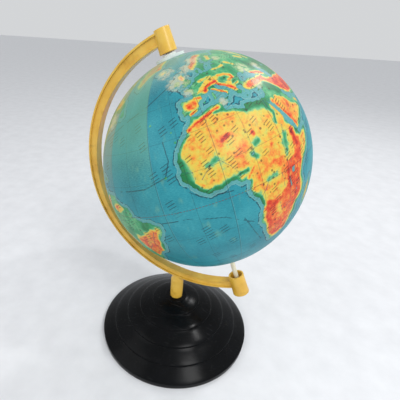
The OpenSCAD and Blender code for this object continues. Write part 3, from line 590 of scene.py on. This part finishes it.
RIVERS = [
    [(31, 30.5), (31, 27), (32.8, 24), (31, 20), (33.5, 18), (32.5, 15.5), (31.5, 8), (32, 2)],
    [(12.6, -6), (16, -3), (18.5, 1), (23, 2), (25.5, 0), (26, -6)],
    [(6, 4.6), (6.6, 8), (4, 12), (0, 16), (-4, 15.5), (-9, 11)],
    [(-16.3, 16), (-12, 15), (-11.5, 12)], [(35.5, -18.6), (30, -15.7), (24, -17.5), (23, -13)],
    [(-50.5, 0), (-56, -2.2), (-63, -3.5), (-70, -3.8), (-76, -5)], [(-61, 8.8), (-67, 7.5), (-67, 3)],
    [(-58.4, -34), (-58, -27), (-52, -21), (-48, -18)],
    [(-36.5, -10.4), (-41, -9), (-44, -14), (-45.5, -18)],
    [(-89.5, 29.2), (-91, 34), (-90, 39), (-93, 45)],
    [(-90, 38.8), (-97, 42), (-104, 47.5), (-110, 47.5)],
    [(-135, 69), (-128, 65), (-121, 61.5), (-114, 59)], [(29, 45.2), (22, 44.5), (19, 47), (12, 48.5)],
    [(4.3, 52), (7, 50.5), (8, 48)], [(48, 46), (45, 50), (49, 55), (40, 57)],
    [(69, 66.5), (66, 62), (72, 58), (82, 54)], [(82, 71), (88, 65), (92, 58), (93, 52)],
    [(127, 72), (124, 66), (129, 62), (118, 59), (107, 54)],
    [(141, 53), (134, 48), (127, 50), (118, 49)],
    [(121.5, 31.8), (114, 30.3), (107, 29.5), (100, 27), (96, 33)],
    [(118.5, 38), (113.5, 35), (110, 40), (104, 36), (98, 35)],
    [(106.3, 9.8), (105, 15), (101, 19), (98, 28)], [(89.5, 22.5), (84, 25.7), (78, 29.5)],
    [(68, 24.2), (71, 30), (74.5, 34.5)], [(48, 30.4), (43, 34), (38.5, 38)],
    [(139, -35.4), (144, -34.5), (148, -36)]]

CURRENTS = [
    [(-18, 9.4), (-10.5, 3.8), (2, 2.4)], [(-78, 28), (-70, 37), (-50, 43), (-30, 48), (-12, 55)],
    [(8, -16), (-4, -8), (-20, -4), (-33, -4)], [(-22, 30), (-21, 22), (-24, 16), (-36, 13), (-54, 13)],
    [(-46, -28), (-36, -36), (-16, -39), (6, -38)], [(46, 4), (58, 12), (66, 12)],
    [(44, -20), (36, -30), (30, -36)], [(128, 24), (138, 32), (152, 38), (172, 42)],
    [(-126, 40), (-122, 28), (-132, 18), (-154, 14)], [(-76, -34), (-78, -20), (-86, -8), (-104, -4)],
    [(156, -24), (156, -32), (160, -40)], [(100, -14), (80, -16), (60, -14)],
    [(60, -42), (90, -44), (120, -44)],
    [(-170, -46), (-140, -50), (-110, -52), (-88, -54)], [(8, 66), (2, 62), (-8, 58)],
    [(12, -30), (8, -22), (4, -12)]]

# Longitude, latitude and radius of places where the print is dulled
WORN_SPOTS = [
    (-12.5, -9, 2.6), (-9.5, -15, 3.4), (-7, -1, 1.8), (-20, 5, 2.2), (-26, 15, 2.4), (-32, 3, 3.0),
    (-38, 22, 2.0), (-3, -22, 2.4), (40, -24, 2.6), (62, 6, 2.4), (-52, 36, 2.6), (-150, 30, 3.0),
    (110, -24, 2.2), (150, 12, 2.6), (-100, -30, 2.8), (-28, -30, 3.2), (86, -2, 2.2), (-168, -8, 2.6)]

# The same for places rubbed down to the pale paper
RUBBED_LAND = [
    (-7, 55, 7), (-16, 64, 6), (3, 61, 5), (14, 66, 5), (36, 38, 4), (38, 48, 5), (52, 46, 4),
    (-3, 47, 3),
    (12, 37, 2.5), (-70, 46, 7), (-80, 60, 8), (60, 60, 4), (33, 60, 3), (100, 60, 5), (140, 36, 4),
    (-120, 40, 4), (130, -25, 4)]

# The step of the grid of degrees, how far from a shore distances are kept, the latitude past which
# a degree of longitude no longer shrinks, and the most a window may reach past its outline
GRID_STEP = 0.5
REACH = 7.0
POLE_LAT = 86
MOST_ASIDE = 120
LON = np.arange(-180, 180, GRID_STEP)
LAT = np.arange(-90, 90 + GRID_STEP, GRID_STEP)


def off_line(lon, lat, first, last):
    """Distance in degrees on the ball from points to one straight piece of a line."""
    squeeze = np.maximum(np.cos(np.radians(lat)), 0.02)
    across = (first[0] - lon) * squeeze
    along = first[1] - lat
    run = (last[0] - first[0]) * squeeze
    rise = last[1] - first[1]
    share = -(across * run + along * rise) / np.maximum(run * run + rise * rise, 1e-9)
    share = np.clip(share, 0, 1)
    return np.hypot(across + share * run, along + share * rise)


def window(outline, reach):
    """Grid rows, grid columns and their degrees around an outline."""
    lons = [point[0] for point in outline]
    lats = [point[1] for point in outline]
    top = min(max(abs(min(lats)), abs(max(lats))) + reach, POLE_LAT)
    wide = reach / math.cos(math.radians(top))
    west = math.floor(max(min(lons) - wide, min(lons) - MOST_ASIDE) / GRID_STEP)
    east = math.ceil(min(max(lons) + wide, max(lons) + MOST_ASIDE) / GRID_STEP)
    east = min(east, west + len(LON) - 1)
    south = max(math.floor((min(lats) - reach + 90) / GRID_STEP), 0)
    north = min(math.ceil((max(lats) + reach + 90) / GRID_STEP), len(LAT) - 1)
    columns = np.arange(west, east + 1)
    rows = np.arange(south, north + 1)
    lon, lat = np.meshgrid(columns * GRID_STEP, rows * GRID_STEP - 90)
    spot = np.ix_(rows, (columns + len(LON) // 2) % len(LON))
    return spot, lon, lat


def shore_distance(outline):
    """Degrees to an outline, positive inside it, with the part of the grid that it covers."""
    spot, lon, lat = window(outline, REACH)
    away = np.full(lon.shape, REACH)
    inside = np.zeros(lon.shape, bool)
    for first, last in zip(outline, outline[1:] + outline[:1]):
        away = np.minimum(away, off_line(lon, lat, first, last))
        if first[1] != last[1]:
            crosses = (first[1] > lat) != (last[1] > lat)
            reach = first[0] + (lat - first[1]) * (last[0] - first[0]) / (last[1] - first[1])
            inside ^= crosses & (lon < reach)
    return spot, np.where(inside, away, -away)


def map_fields():
    """The map's numbers on a grid of degrees: shore, height of the land, rivers and so on."""
    shape = (len(LAT), len(LON))
    shore = np.full(shape, -REACH)
    for outline in [EURASIA, AFRICA, NORTH_AMERICA, SOUTH_AMERICA, GREENLAND, AUSTRALIA,
                    ANTARCTICA_EAST, ANTARCTICA_WEST] + BIG_ISLANDS:
        spot, away = shore_distance(outline)
        shore[spot] = np.maximum(shore[spot], away)
    for outline in SEAS_AND_LAKES:
        spot, away = shore_distance(outline)
        shore[spot] = np.minimum(shore[spot], -away)
    isles = np.full(shape, -REACH)
    for lon, lat, radius in SMALL_ISLANDS:
        spot, lons, lats = window([(lon, lat)], REACH)
        away = off_line(lons, lats, (lon, lat), (lon, lat))
        isles[spot] = np.maximum(isles[spot], radius - away)
    relief = np.full(shape, 0.17)
    for height, rise, outline in UPLANDS:
        spot, away = shore_distance(outline)
        share = np.clip(away / rise, 0, 1)
        relief[spot] = np.maximum(relief[spot], height * share * share * (3 - 2 * share))
    for height, width, line in HIGHLANDS:
        spot, hill = swell(line, width)
        relief[spot] = np.maximum(relief[spot], height * hill)
    for depth, width, line in LOWLANDS:
        spot, hollow = swell(line, width)
        relief[spot] = relief[spot] - depth * hollow
    return {"shore": shore, "isles": isles, "relief": np.clip(relief, 0, 1), "river": nearest(RIVERS),
            "current": nearest(CURRENTS), "worn": spots(WORN_SPOTS), "cream": spots(RUBBED_LAND)}


# How many widths away a ridge has faded out
SWELL_REACH = 2.6


def swell(line, width):
    """A rounded ridge along a line, 1 on the line and fading over its width."""
    spot, lon, lat = window(line, width * SWELL_REACH)
    away = np.full(lon.shape, 90.0)
    for first, last in zip(line, line[1:] + line[-1:]):
        away = np.minimum(away, off_line(lon, lat, first, last))
    return spot, np.exp(-(away / width) ** 1.5)


def nearest(lines):
    """Degrees to the nearest of several lines."""
    away = np.full((len(LAT), len(LON)), REACH)
    for line in lines:
        spot, lon, lat = window(line, 2.0)
        for first, last in zip(line, line[1:]):
            away[spot] = np.minimum(away[spot], off_line(lon, lat, first, last))
    return away


def spots(marks):
    """Round marks with soft edges, from 1 in the middle to 0."""
    wear = np.zeros((len(LAT), len(LON)))
    for lon, lat, radius in marks:
        spot, lons, lats = window([(lon, lat)], radius * 2)
        away = off_line(lons, lats, (lon, lat), (lon, lat)) / radius
        wear[spot] = np.maximum(wear[spot], np.clip(1 - away, 0, 1))
    return wear


# ---------------------------------------------------------------- modelling helpers

# Two places closer than this, in metres, count as the same
NEAR = 1e-5


def clear_selection():
    """Leaves edit mode and deselects every object."""
    if bpy.context.object is not None and bpy.context.object.mode != "OBJECT":
        bpy.ops.object.mode_set(mode="OBJECT")
    bpy.ops.object.select_all(action="DESELECT")


def settle(piece):
    """The object's own turn and place go into its mesh."""
    clear_selection()
    piece.select_set(True)
    bpy.context.view_layer.objects.active = piece
    bpy.ops.object.transform_apply(location=True, rotation=True, scale=True)


def pick(piece, keep):
    """Selects the points for which keep(place) is true, and stays in edit mode."""
    bpy.ops.object.mode_set(mode="OBJECT")
    mesh = piece.data
    for group in (mesh.vertices, mesh.edges, mesh.polygons):
        group.foreach_set("select", [False] * len(group))
    for vertex in mesh.vertices:
        vertex.select = keep(vertex.co)
    bpy.ops.object.mode_set(mode="EDIT")
    bpy.ops.mesh.select_mode(type="VERT")


def turned_outline(name, outline, steps):
    """A closed ring about Z: a circle drawn out through (radius, height) points in millimetres."""
    clear_selection()
    radius, height = outline[0]
    bpy.ops.mesh.primitive_circle_add(
        vertices=steps, radius=radius * MM, location=(0, 0, height * MM))
    piece = bpy.context.object
    piece.name = name
    settle(piece)
    bpy.ops.object.mode_set(mode="EDIT")
    bpy.ops.mesh.select_all(action="SELECT")
    for next_radius, next_height in outline[1:]:
        rise = (0, 0, (next_height - height) * MM)
        bpy.ops.mesh.extrude_edges_move(TRANSFORM_OT_translate={"value": rise})
        growth = next_radius / radius
        bpy.ops.transform.resize(value=(growth, growth, 1), center_override=(0, 0, 0))
        radius, height = next_radius, next_height

    def on_open_edge(place):
        return any(abs(place.xy.length - r * MM) < NEAR and abs(place.z - z * MM) < NEAR
                   for r, z in (outline[0], outline[-1]))

    pick(piece, on_open_edge)
    bpy.ops.mesh.bridge_edge_loops()
    bpy.ops.mesh.select_all(action="SELECT")
    bpy.ops.mesh.normals_make_consistent(inside=False)
    bpy.ops.object.mode_set(mode="OBJECT")
    return piece


def soften(piece, width, segments=2, angle=30):
    """Rounds the sharp edges, then smooths the shading up to an angle."""
    bevel = piece.modifiers.new("soft_edges", "BEVEL")
    bevel.width = width
    bevel.segments = segments
    bevel.limit_method = "ANGLE"
    bevel.angle_limit = math.radians(angle)
    clear_selection()
    piece.select_set(True)
    bpy.context.view_layer.objects.active = piece
    bpy.ops.object.modifier_apply(modifier=bevel.name)
    bpy.ops.object.shade_smooth_by_angle(angle=math.radians(angle))


def axle_frame():
    """The ball's own frame: its centre, with the spin axis along Z."""
    side = Vector((0, 1, 0))
    return Matrix.Translation(BALL_CENTRE) @ Matrix(
        (side.cross(BALL_AXIS), side, BALL_AXIS)).transposed().to_4x4()


def finish_piece(piece, body, slot, material, *nodes):
    """Gives a piece its material and its body, and hides the CAD nodes it stands for; the slot is not
    used.
    """
    piece.data.materials.clear()
    piece.data.materials.append(material)
    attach(piece, body)
    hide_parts(*nodes)


# ---------------------------------------------------------------- the ball's paper map

POLE_HOLE_R = 5 * MM
PAPER_T = 0.4 * MM
GORES = 12
GORE_ANGLE = 360 / GORES
# Degrees from the ball's own X axis to the first gore's edge and to the map's zero meridian
GORE_TURN = -3
MAP_TURN = 63


def blank_gore():
    """One gore of paper before it is printed, with its first edge on the X axis."""
    clear_selection()
    bpy.ops.mesh.primitive_circle_add(vertices=720, radius=BALL_R, rotation=(math.pi / 2, 0, 0))
    gore = bpy.context.object
    settle(gore)
    pick(gore, lambda place: place.x < POLE_HOLE_R)
    bpy.ops.mesh.delete(type="VERT")
    bpy.ops.mesh.select_all(action="SELECT")
    bpy.ops.mesh.spin(steps=60, angle=math.radians(GORE_ANGLE), center=(0, 0, 0), axis=(0, 0, 1))
    bpy.ops.object.mode_set(mode="OBJECT")
    face = gore.data.polygons[0]
    if face.normal.dot(face.center) < 0:
        bpy.ops.object.mode_set(mode="EDIT")
        bpy.ops.mesh.select_all(action="SELECT")
        bpy.ops.mesh.flip_normals()
        bpy.ops.object.mode_set(mode="OBJECT")
    first = max(gore.data.vertices, key=lambda vertex: vertex.co.y)
    turn = 0 if first.co.y > NEAR else math.radians(GORE_ANGLE)
    gore.data.transform(Matrix.Rotation(turn, 4, "Z"))
    wall = gore.modifiers.new("paper", "SOLIDIFY")
    wall.thickness = PAPER_T
    wall.offset = -1
    bpy.ops.object.modifier_apply(modifier=wall.name)
    bpy.ops.object.shade_smooth_by_angle(angle=math.radians(30))
    return gore


def print_gore(gore, fields, middle):
    """Stores the map's numbers at a gore's points, while it is still in the ball's own frame."""
    mesh = gore.data
    place = np.empty(len(mesh.vertices) * 3)
    mesh.vertices.foreach_get("co", place)
    place = place.reshape(-1, 3)
    lat = np.degrees(np.arcsin(place[:, 2] / np.linalg.norm(place, axis=1)))
    turn = np.degrees(np.arctan2(place[:, 1], place[:, 0])) + MAP_TURN
    lon = middle + (turn - middle + 180) % 360 - 180
    column = (lon + 180) / GRID_STEP
    row = (lat + 90) / GRID_STEP
    west = np.floor(column + 1e-6)
    south = np.clip(np.floor(row), 0, len(LAT) - 2)
    east_share = np.clip(column - west, 0, 1)
    north_share = row - south
    west = west.astype(int) % len(LON)
    east = (west + 1) % len(LON)
    south = south.astype(int)
    for name, grid in fields.items():
        low = grid[south, west] * (1 - east_share) + grid[south, east] * east_share
        high = grid[south + 1, west] * (1 - east_share) + grid[south + 1, east] * east_share
        store(mesh, name, low * (1 - north_share) + high * north_share)
    store(mesh, "lon", lon)
    store(mesh, "lat", lat)


def store(mesh, name, values):
    """Keeps one number at each of the mesh's points."""
    mesh.attributes.new(name, "FLOAT", "POINT").data.foreach_set(
        "value", np.asarray(values, np.float32))


def paper_map():
    """The printed paper: sea and land under a grid, then wear, seams and dull varnish."""
    paint = Finish("map_paper")
    place = paint.place()
    lon = paint.field("lon")
    lat = paint.field("lat")
    ragged = (paint.noise(place, 330, 6, 0.68) - 0.5) * 2.3
    shore = paint.field("shore") + ragged
    isles = paint.field("isles") + ragged * 0.25
    wide = paint.noise(place, 34, 4, 0.55)
    degrees = paint.flat(lon / 10, lat / 10)
    streak = paint.noise(paint.scaled(degrees, (1.0, 5.0, 1.0)), 7, 5, 0.7)
    crags = paint.noise(place, 330, 6, 0.72)
    shade = paint.noise(place, 520, 5, 0.75)

    sea = sea_print(paint, place, lon, lat, shore, wide, streak)
    land = land_print(paint, place, lon, lat, wide, crags, shade)
    land = paint.mix(shore.band(0.08, 0.11, 0.06) * 0.55, land, srgb(16, 66, 56))
    colour = paint.mix(paint.larger(shore, isles).above(0.0, 0.04), sea, land)
    colour = grid_print(paint, colour, lon, lat)
    colour = yellowed(paint, colour, lon, lat, streak)

    smear = paint.noise(paint.scaled(degrees, (1.0, 0.35, 1.0)), 4, 4, 0.6)
    rubbed = (paint.field("worn") * 0.6 + (smear - 0.5) * 1.8).above(0.4, 0.3)
    fine_rub = paint.noise(place, 120, 6, 0.8).above(0.69, 0.06)
    wear = paint.larger(rubbed * 0.3, fine_rub * 0.2)
    colour = paint.mix(wear, colour, srgb(126, 176, 140))
    broken = (shade - 0.5) * 3 + (crags - 0.5) * 5 + 1
    cream = (paint.field("cream") * broken).above(0.42, 0.3)
    colour = paint.mix(cream * 0.5, colour, srgb(224, 208, 168))

    joint = line_every(lon, GORE_ANGLE, 0.16)
    colour = paint.mix(joint * 0.26, colour, srgb(30, 66, 66))
    lip = line_every(lon - 0.34, GORE_ANGLE, 0.13)
    colour = paint.mix(lip * 0.08, colour, srgb(206, 204, 176))

    grain = paint.noise(place, 900, 3, 0.7)
    height = grain * 0.25 + wide * 0.5 - joint * 0.25 + crags * 0.2
    rough = 0.46 + (streak - 0.5) * 0.2 + wear * 0.2
    return paint.shade(base=colour, rough=rough, coat=0.06, coat_rough=0.25, gloss=0.35,
                       normal=paint.bump(height, 0.2, 0.0002))


def sea_print(paint, place, lon, lat, shore, wide, streak):
    """Teal sea with strokes for names, current lines, and a pale shelf inside a broken line."""
    sea = paint.ramp(wide * 0.5 + streak * 0.5, [
        (0.36, srgb(18, 108, 124)), (0.5, srgb(34, 140, 154)), (0.66, srgb(66, 164, 174))])
    names = dash_rows(paint, lon, lat, 6.5, 4.6, 3.0, 0.80)
    sea = paint.mix(names * 0.72, sea, srgb(10, 40, 58))
    gaps = paint.noise(place, 130, 2).above(0.43, 0.04)
    flow = paint.field("current").band(0, 0.26, 0.12) * gaps
    sea = paint.mix(flow * 0.72, sea, srgb(10, 44, 60))
    shallow = paint.ramp(streak, [(0.35, srgb(84, 158, 150)), (0.65, srgb(140, 188, 172))])
    sea = paint.mix(shore.above(-1.35, 0.12) * 0.42, sea, shallow)
    sea = paint.mix(shore.band(-1.45, 0.13, 0.08) * 0.28, sea, srgb(186, 212, 190))
    broken = paint.noise(place, 420, 1).above(0.46, 0.05)
    return paint.mix(shore.band(-1.9, 0.26, 0.1) * broken * 0.75, sea, srgb(8, 44, 56))


def land_print(paint, place, lon, lat, wide, crags, shade):
    """Land coloured by its height, with ice in the far south, rivers, towns and strokes."""
    folds = paint.noise(place, 120, 5, 0.62)
    height = paint.field("relief") * (crags * 1.5 + 0.25) + (folds - 0.5) * 0.56
    land = paint.ramp(height, [
        (0.00, srgb(18, 118, 66)), (0.14, srgb(40, 150, 98)), (0.25, srgb(108, 184, 128)),
        (0.34, srgb(206, 198, 84)), (0.47, srgb(226, 186, 68)), (0.57, srgb(230, 146, 56)),
        (0.68, srgb(228, 98, 42)), (0.84, srgb(206, 48, 22)), (1.00, srgb(160, 36, 26))])
    ice = (0 - lat).above(60, 1.0)
    snow = paint.ramp(wide, [(0.3, srgb(196, 214, 216)), (0.7, srgb(226, 232, 228))])
    land = paint.mix(ice * 0.85, land, snow)
    land = paint.mix((0.5 - shade) * 1.6, land, srgb(96, 56, 24))
    rivers = paint.field("river").band(0, 0.17, 0.1)
    land = paint.mix(rivers * (1 - ice) * 0.8, land, srgb(22, 84, 104))
    names = dash_rows(paint, lon + 3.1, lat, 4.6, 2.6, 2.0, 0.74)
    cells = paint.node("TexVoronoi", None, {"Vector": place, "Scale": 240.0, "Randomness": 1.0})
    towns = 1 - cells.above(0.17, 0.04)
    return paint.mix(names * 0.68 + towns * 0.66, land, srgb(40, 26, 20))


def grid_print(paint, colour, lon, lat):
    """Grid lines every fifteen degrees, with the equator broken into dashes."""
    lines = paint.larger(line_every(lat, 15, 0.10), line_every(lon, 15, 0.12))
    colour = paint.mix(lines * 0.42, colour, srgb(8, 50, 62))
    dashes = (lon * 0.7).maths("FRACT", lon * 0.7).above(0.4, 0.1)
    return paint.mix(lat.band(0, 0.2, 0.08) * dashes * 0.5, colour, srgb(110, 44, 36))


def yellowed(paint, colour, lon, lat, streak):
    """Age: three strips of paper have turned, and the far north is pale."""
    fading = (lat + (streak - 0.5) * 60).above(24, 16)
    west = lon.band(-45, 15.0, 0.05) * (fading * 0.4 + 0.05)
    colour = paint.mix(west, colour, srgb(116, 172, 126))
    far_west = lon.band(-75, 15.0, 0.05) * (fading * 0.36 + 0.06)
    colour = paint.mix(far_west, colour, srgb(184, 170, 88))
    colour = paint.mix(lon.band(135, 15.0, 0.05) * 0.3, colour, srgb(150, 164, 112))
    north = (lat + (streak - 0.5) * 30).above(62, 12)
    return paint.mix(north * 0.4, colour, srgb(166, 196, 164))


def line_every(angle, step, half):
    """Thin lines at every multiple of a step in degrees."""
    share = angle / step + 0.5
    off = share.maths("FRACT", share) - 0.5
    return (off * step).band(0, half, half * 0.6)


def dash_rows(paint, lon, lat, width, height, rows, scarce):
    """Scattered groups of short slanting strokes, in place of any words."""
    cells = paint.flat((lon * 0.95 + lat * 0.30) / width, (lat * 0.95 - lon * 0.30) / height)
    cell = paint.node("VectorMath", {"operation": "FLOOR"}, {0: cells})
    within = paint.node("VectorMath", {"operation": "FRACTION"}, {0: cells})
    beside = paint.node("SeparateXYZ", None, {0: within}, out=0)
    above = paint.node("SeparateXYZ", None, {0: within}, out=1)
    chance = paint.node("TexWhiteNoise", {"noise_dimensions": "3D"}, {"Vector": cell})
    lines = (above * rows).maths("FRACT", above * rows)
    bar = lines.band(0.5, 0.14, 0.08) * beside.band(0.5, 0.32, 0.05) * above.band(0.5, 0.36, 0.02)
    return bar * chance.above(scarce, 0.01)


def make_map():
    """Twelve gores, each printed with its own strip of the map and pasted round the axle."""
    fields = map_fields()
    material = paper_map()
    blank = blank_gore()
    gores = [blank.copy() for _ in range(GORES - 1)] + [blank]
    for copied in gores[:-1]:
        copied.data = blank.data.copy()
        bpy.context.scene.collection.objects.link(copied)
    for number, gore in enumerate(gores):
        gore.name = f"printed_gore_{number + 1:02d}"
        start = GORE_TURN + GORE_ANGLE * number
        middle = (start + GORE_ANGLE / 2 + MAP_TURN + 180) % 360 - 180
        gore.data.transform(Matrix.Rotation(math.radians(start), 4, "Z"))
        print_gore(gore, fields, middle)
        gore.data.transform(axle_frame())
        finish_piece(gore, "ball", "map_paper", material, f"map_gore_{number + 1:02d}")


# ---------------------------------------------------------------- the base

# Sizes of the base in millimetres, as the part has them
BASE_R = 79
BASE_H = 47
RIM_H = 5.5
LAND_R = 11
RINGS = 5
RING_H = 1.6
SLOPE_POWER = 1.3
COVER_STAND = 0.3
WALL = 3
# Room left under the slope for the moulding's thickness, seen straight down
ROOF = WALL * 1.5
BORE_R = 4.56
TUBE_R = 8.06
TUBE_LOW = 33.2


def slope(radius):
    """Height of the base's mean slope, in millimetres."""
    return RIM_H + (BASE_H - RIM_H) * (1 - ((radius - LAND_R) / (BASE_R - LAND_R)) ** SLOPE_POWER)


def make_base():
    """The stepped moulding: treads with soft risers, hollow below, with its spigot tube."""
    step = (BASE_R - LAND_R) / RINGS
    outline = [(BASE_R - WALL, COVER_STAND), (BASE_R, COVER_STAND)]
    for ring in range(RINGS):
        for share in (0, 0.25, 0.5, 0.75, 1):
            radius = BASE_R - step * (ring + share)
            outline.append((radius, slope(radius) + RING_H * (0.5 - share)))
    middle = (BASE_R - WALL + LAND_R) / 2
    outline += [(LAND_R, BASE_H), (BORE_R, BASE_H), (BORE_R, TUBE_LOW), (TUBE_R, TUBE_LOW),
                (TUBE_R, BASE_H - ROOF), (LAND_R, BASE_H - ROOF),
                (middle, slope(middle) - ROOF), (BASE_R - WALL, RIM_H - WALL + 1)]
    base = turned_outline("base_moulding", outline, 192)
    soften(base, 0.45 * MM, 3, 24)
    return base


def black_moulding():
    """Glossy black plastic with a little dust and a few long scratches."""
    paint = Finish("base_black")
    place = paint.place()
    fine = paint.noise(place, 700, 3)
    cloud = paint.noise(place, 38, 4)
    dusty = paint.noise(place, 60, 2).above(0.5, 0.15)
    dust = paint.noise(place, 1500, 2, 0.7).above(0.70, 0.02) * dusty
    scratch = paint.noise(paint.scaled(place, (40.0, 900.0, 300.0)), 1, 3, 0.6).above(0.68, 0.02)
    colour = paint.ramp(cloud, [(0.3, srgb(8, 9, 10)), (0.7, srgb(15, 16, 18))])
    colour = paint.mix(dust * 0.55, colour, srgb(120, 120, 116))
    colour = paint.mix(scratch * 0.12, colour, srgb(90, 90, 92))
    rough = 0.12 + cloud * 0.2 + scratch * 0.15 + dust * 0.3
    return paint.shade(base=colour, rough=rough, gloss=0.075,
                       normal=paint.bump(fine * 0.3 + cloud, 0.12, 0.0004))


# ---------------------------------------------------------------- the arm and the small parts

def yellow_moulding():
    """Ochre plastic, clouded, with paler scuffs and some grime."""
    paint = Finish("arm_yellow")
    place = paint.place()
    cloud = paint.noise(place, 55, 5)
    fine = paint.noise(place, 620, 3)
    scuff = paint.noise(place, 210, 5, 0.75).above(0.66, 0.04)
    colour = paint.ramp(cloud, [(0.3, srgb(214, 164, 54)), (0.5, srgb(228, 182, 68)),
                                (0.72, srgb(236, 196, 88))])
    colour = paint.mix(scuff * 0.28, colour, srgb(238, 214, 130))
    grime = paint.noise(place, 120, 4).above(0.62, 0.08)
    colour = paint.mix(grime * 0.22, colour, srgb(120, 86, 30))
    rough = 0.26 + cloud * 0.16 + scuff * 0.15
    return paint.shade(base=colour, rough=rough, coat=0.15, coat_rough=0.2,
                       normal=paint.rounded(0.0007, fine * 0.3 + cloud, 0.12, 0.0003))


def pale_plastic(name, low, high, rough, radius=0.0004):
    """A light moulded plastic with faint clouding, handling marks and softened edges."""
    paint = Finish(name)
    place = paint.place()
    cloud = paint.noise(place, 160, 4)
    fine = paint.noise(place, 900, 3)
    mark = paint.noise(place, 420, 5, 0.75).above(0.67, 0.04)
    colour = paint.mix(mark * 0.3, paint.ramp(cloud, [(0.3, low), (0.7, high)]), srgb(150, 140, 120))
    return paint.shade(base=colour, rough=rough + (cloud - 0.5) * 0.2,
                       normal=paint.rounded(radius, fine, 0.12, 0.0002))


def turned_steel(name, tone, rough):
    """Plain steel with fine lathe rings and a few darker stains."""
    paint = Finish(name)
    place = paint.place()
    rings = paint.node("TexWave", {"wave_type": "RINGS", "rings_direction": "Z"}, {
        "Vector": place, "Scale": 900.0, "Distortion": 2.0, "Detail": 2.0})
    stain = paint.noise(place, 90, 5, 0.7)
    colour = paint.mix(stain.above(0.58, 0.12) * 0.5, tone, srgb(86, 80, 74))
    return paint.shade(base=colour, rough=rough + rings * 0.12 + (stain - 0.5) * 0.2, metal=1.0,
                       normal=paint.rounded(0.0003, rings, 0.15, 0.0001))


def green_felt():
    """Dark green felt with short fibres and worn patches."""
    paint = Finish("cover_felt")
    place = paint.place()
    fibre = paint.noise(paint.scaled(place, (1.0, 2.2, 1.0)), 1500, 4, 0.75)
    patch = paint.noise(place, 60, 4)
    colour = paint.ramp(fibre * 0.7 + patch * 0.3, [(0.3, srgb(30, 44, 38)), (0.7, srgb(66, 84, 74))])
    return paint.shade(base=colour, rough=0.95, gloss=0.2, normal=paint.bump(fibre, 0.7, 0.0006))


def pressed_board(name, low, high):
    """Grey-brown pressed board with visible fibres."""
    paint = Finish(name)
    place = paint.place()
    fibre = paint.noise(paint.scaled(place, (1.0, 1.0, 3.0)), 800, 5, 0.7)
    blot = paint.noise(place, 70, 4)
    colour = paint.ramp(fibre * 0.6 + blot * 0.4, [(0.32, low), (0.68, high)])
    return paint.shade(base=colour, rough=0.85, gloss=0.3, normal=paint.bump(fibre, 0.4, 0.0004))


def dress(material, *nodes):
    """Puts a material on CAD nodes whose shape is right as it is."""
    for name in nodes:
        mesh = frame["nodes"][name].data
        mesh.materials.clear()
        mesh.materials.append(material)


place_camera()
lay_floor()
light_room()
make_map()
finish_piece(make_base(), "base", "base_black", black_moulding(), "base_shell")
dress(yellow_moulding(), "meridian_arm")
dress(pale_plastic("axle_cream", srgb(214, 206, 176), srgb(232, 226, 202), 0.36), "axle")
dress(pale_plastic("bush_pink", srgb(214, 182, 170), srgb(232, 208, 198), 0.45), "upper_axle_bush")
dress(pale_plastic("washer_nylon", srgb(206, 206, 196), srgb(226, 226, 218), 0.4), "slip_washer")
dress(pale_plastic("cap_white", srgb(206, 216, 212), srgb(228, 234, 230), 0.34, 0.0005),
      "pole_cap_north", "pole_cap_south")
dress(pale_plastic("bush_white", srgb(214, 214, 208), srgb(232, 232, 228), 0.42),
      "bush_north", "bush_south")
dress(turned_steel("screw_steel", srgb(168, 168, 172), 0.28), "arm_screw", "arm_washer")
dress(turned_steel("weight_steel", srgb(120, 120, 122), 0.42), "base_weight")
dress(green_felt(), "base_cover")
dress(pressed_board("shell_board", srgb(176, 166, 142), srgb(206, 198, 176)),
      "hemisphere_north", "hemisphere_south")
dress(pressed_board("hoop_board", srgb(150, 124, 90), srgb(184, 158, 120)), "joining_hoop")
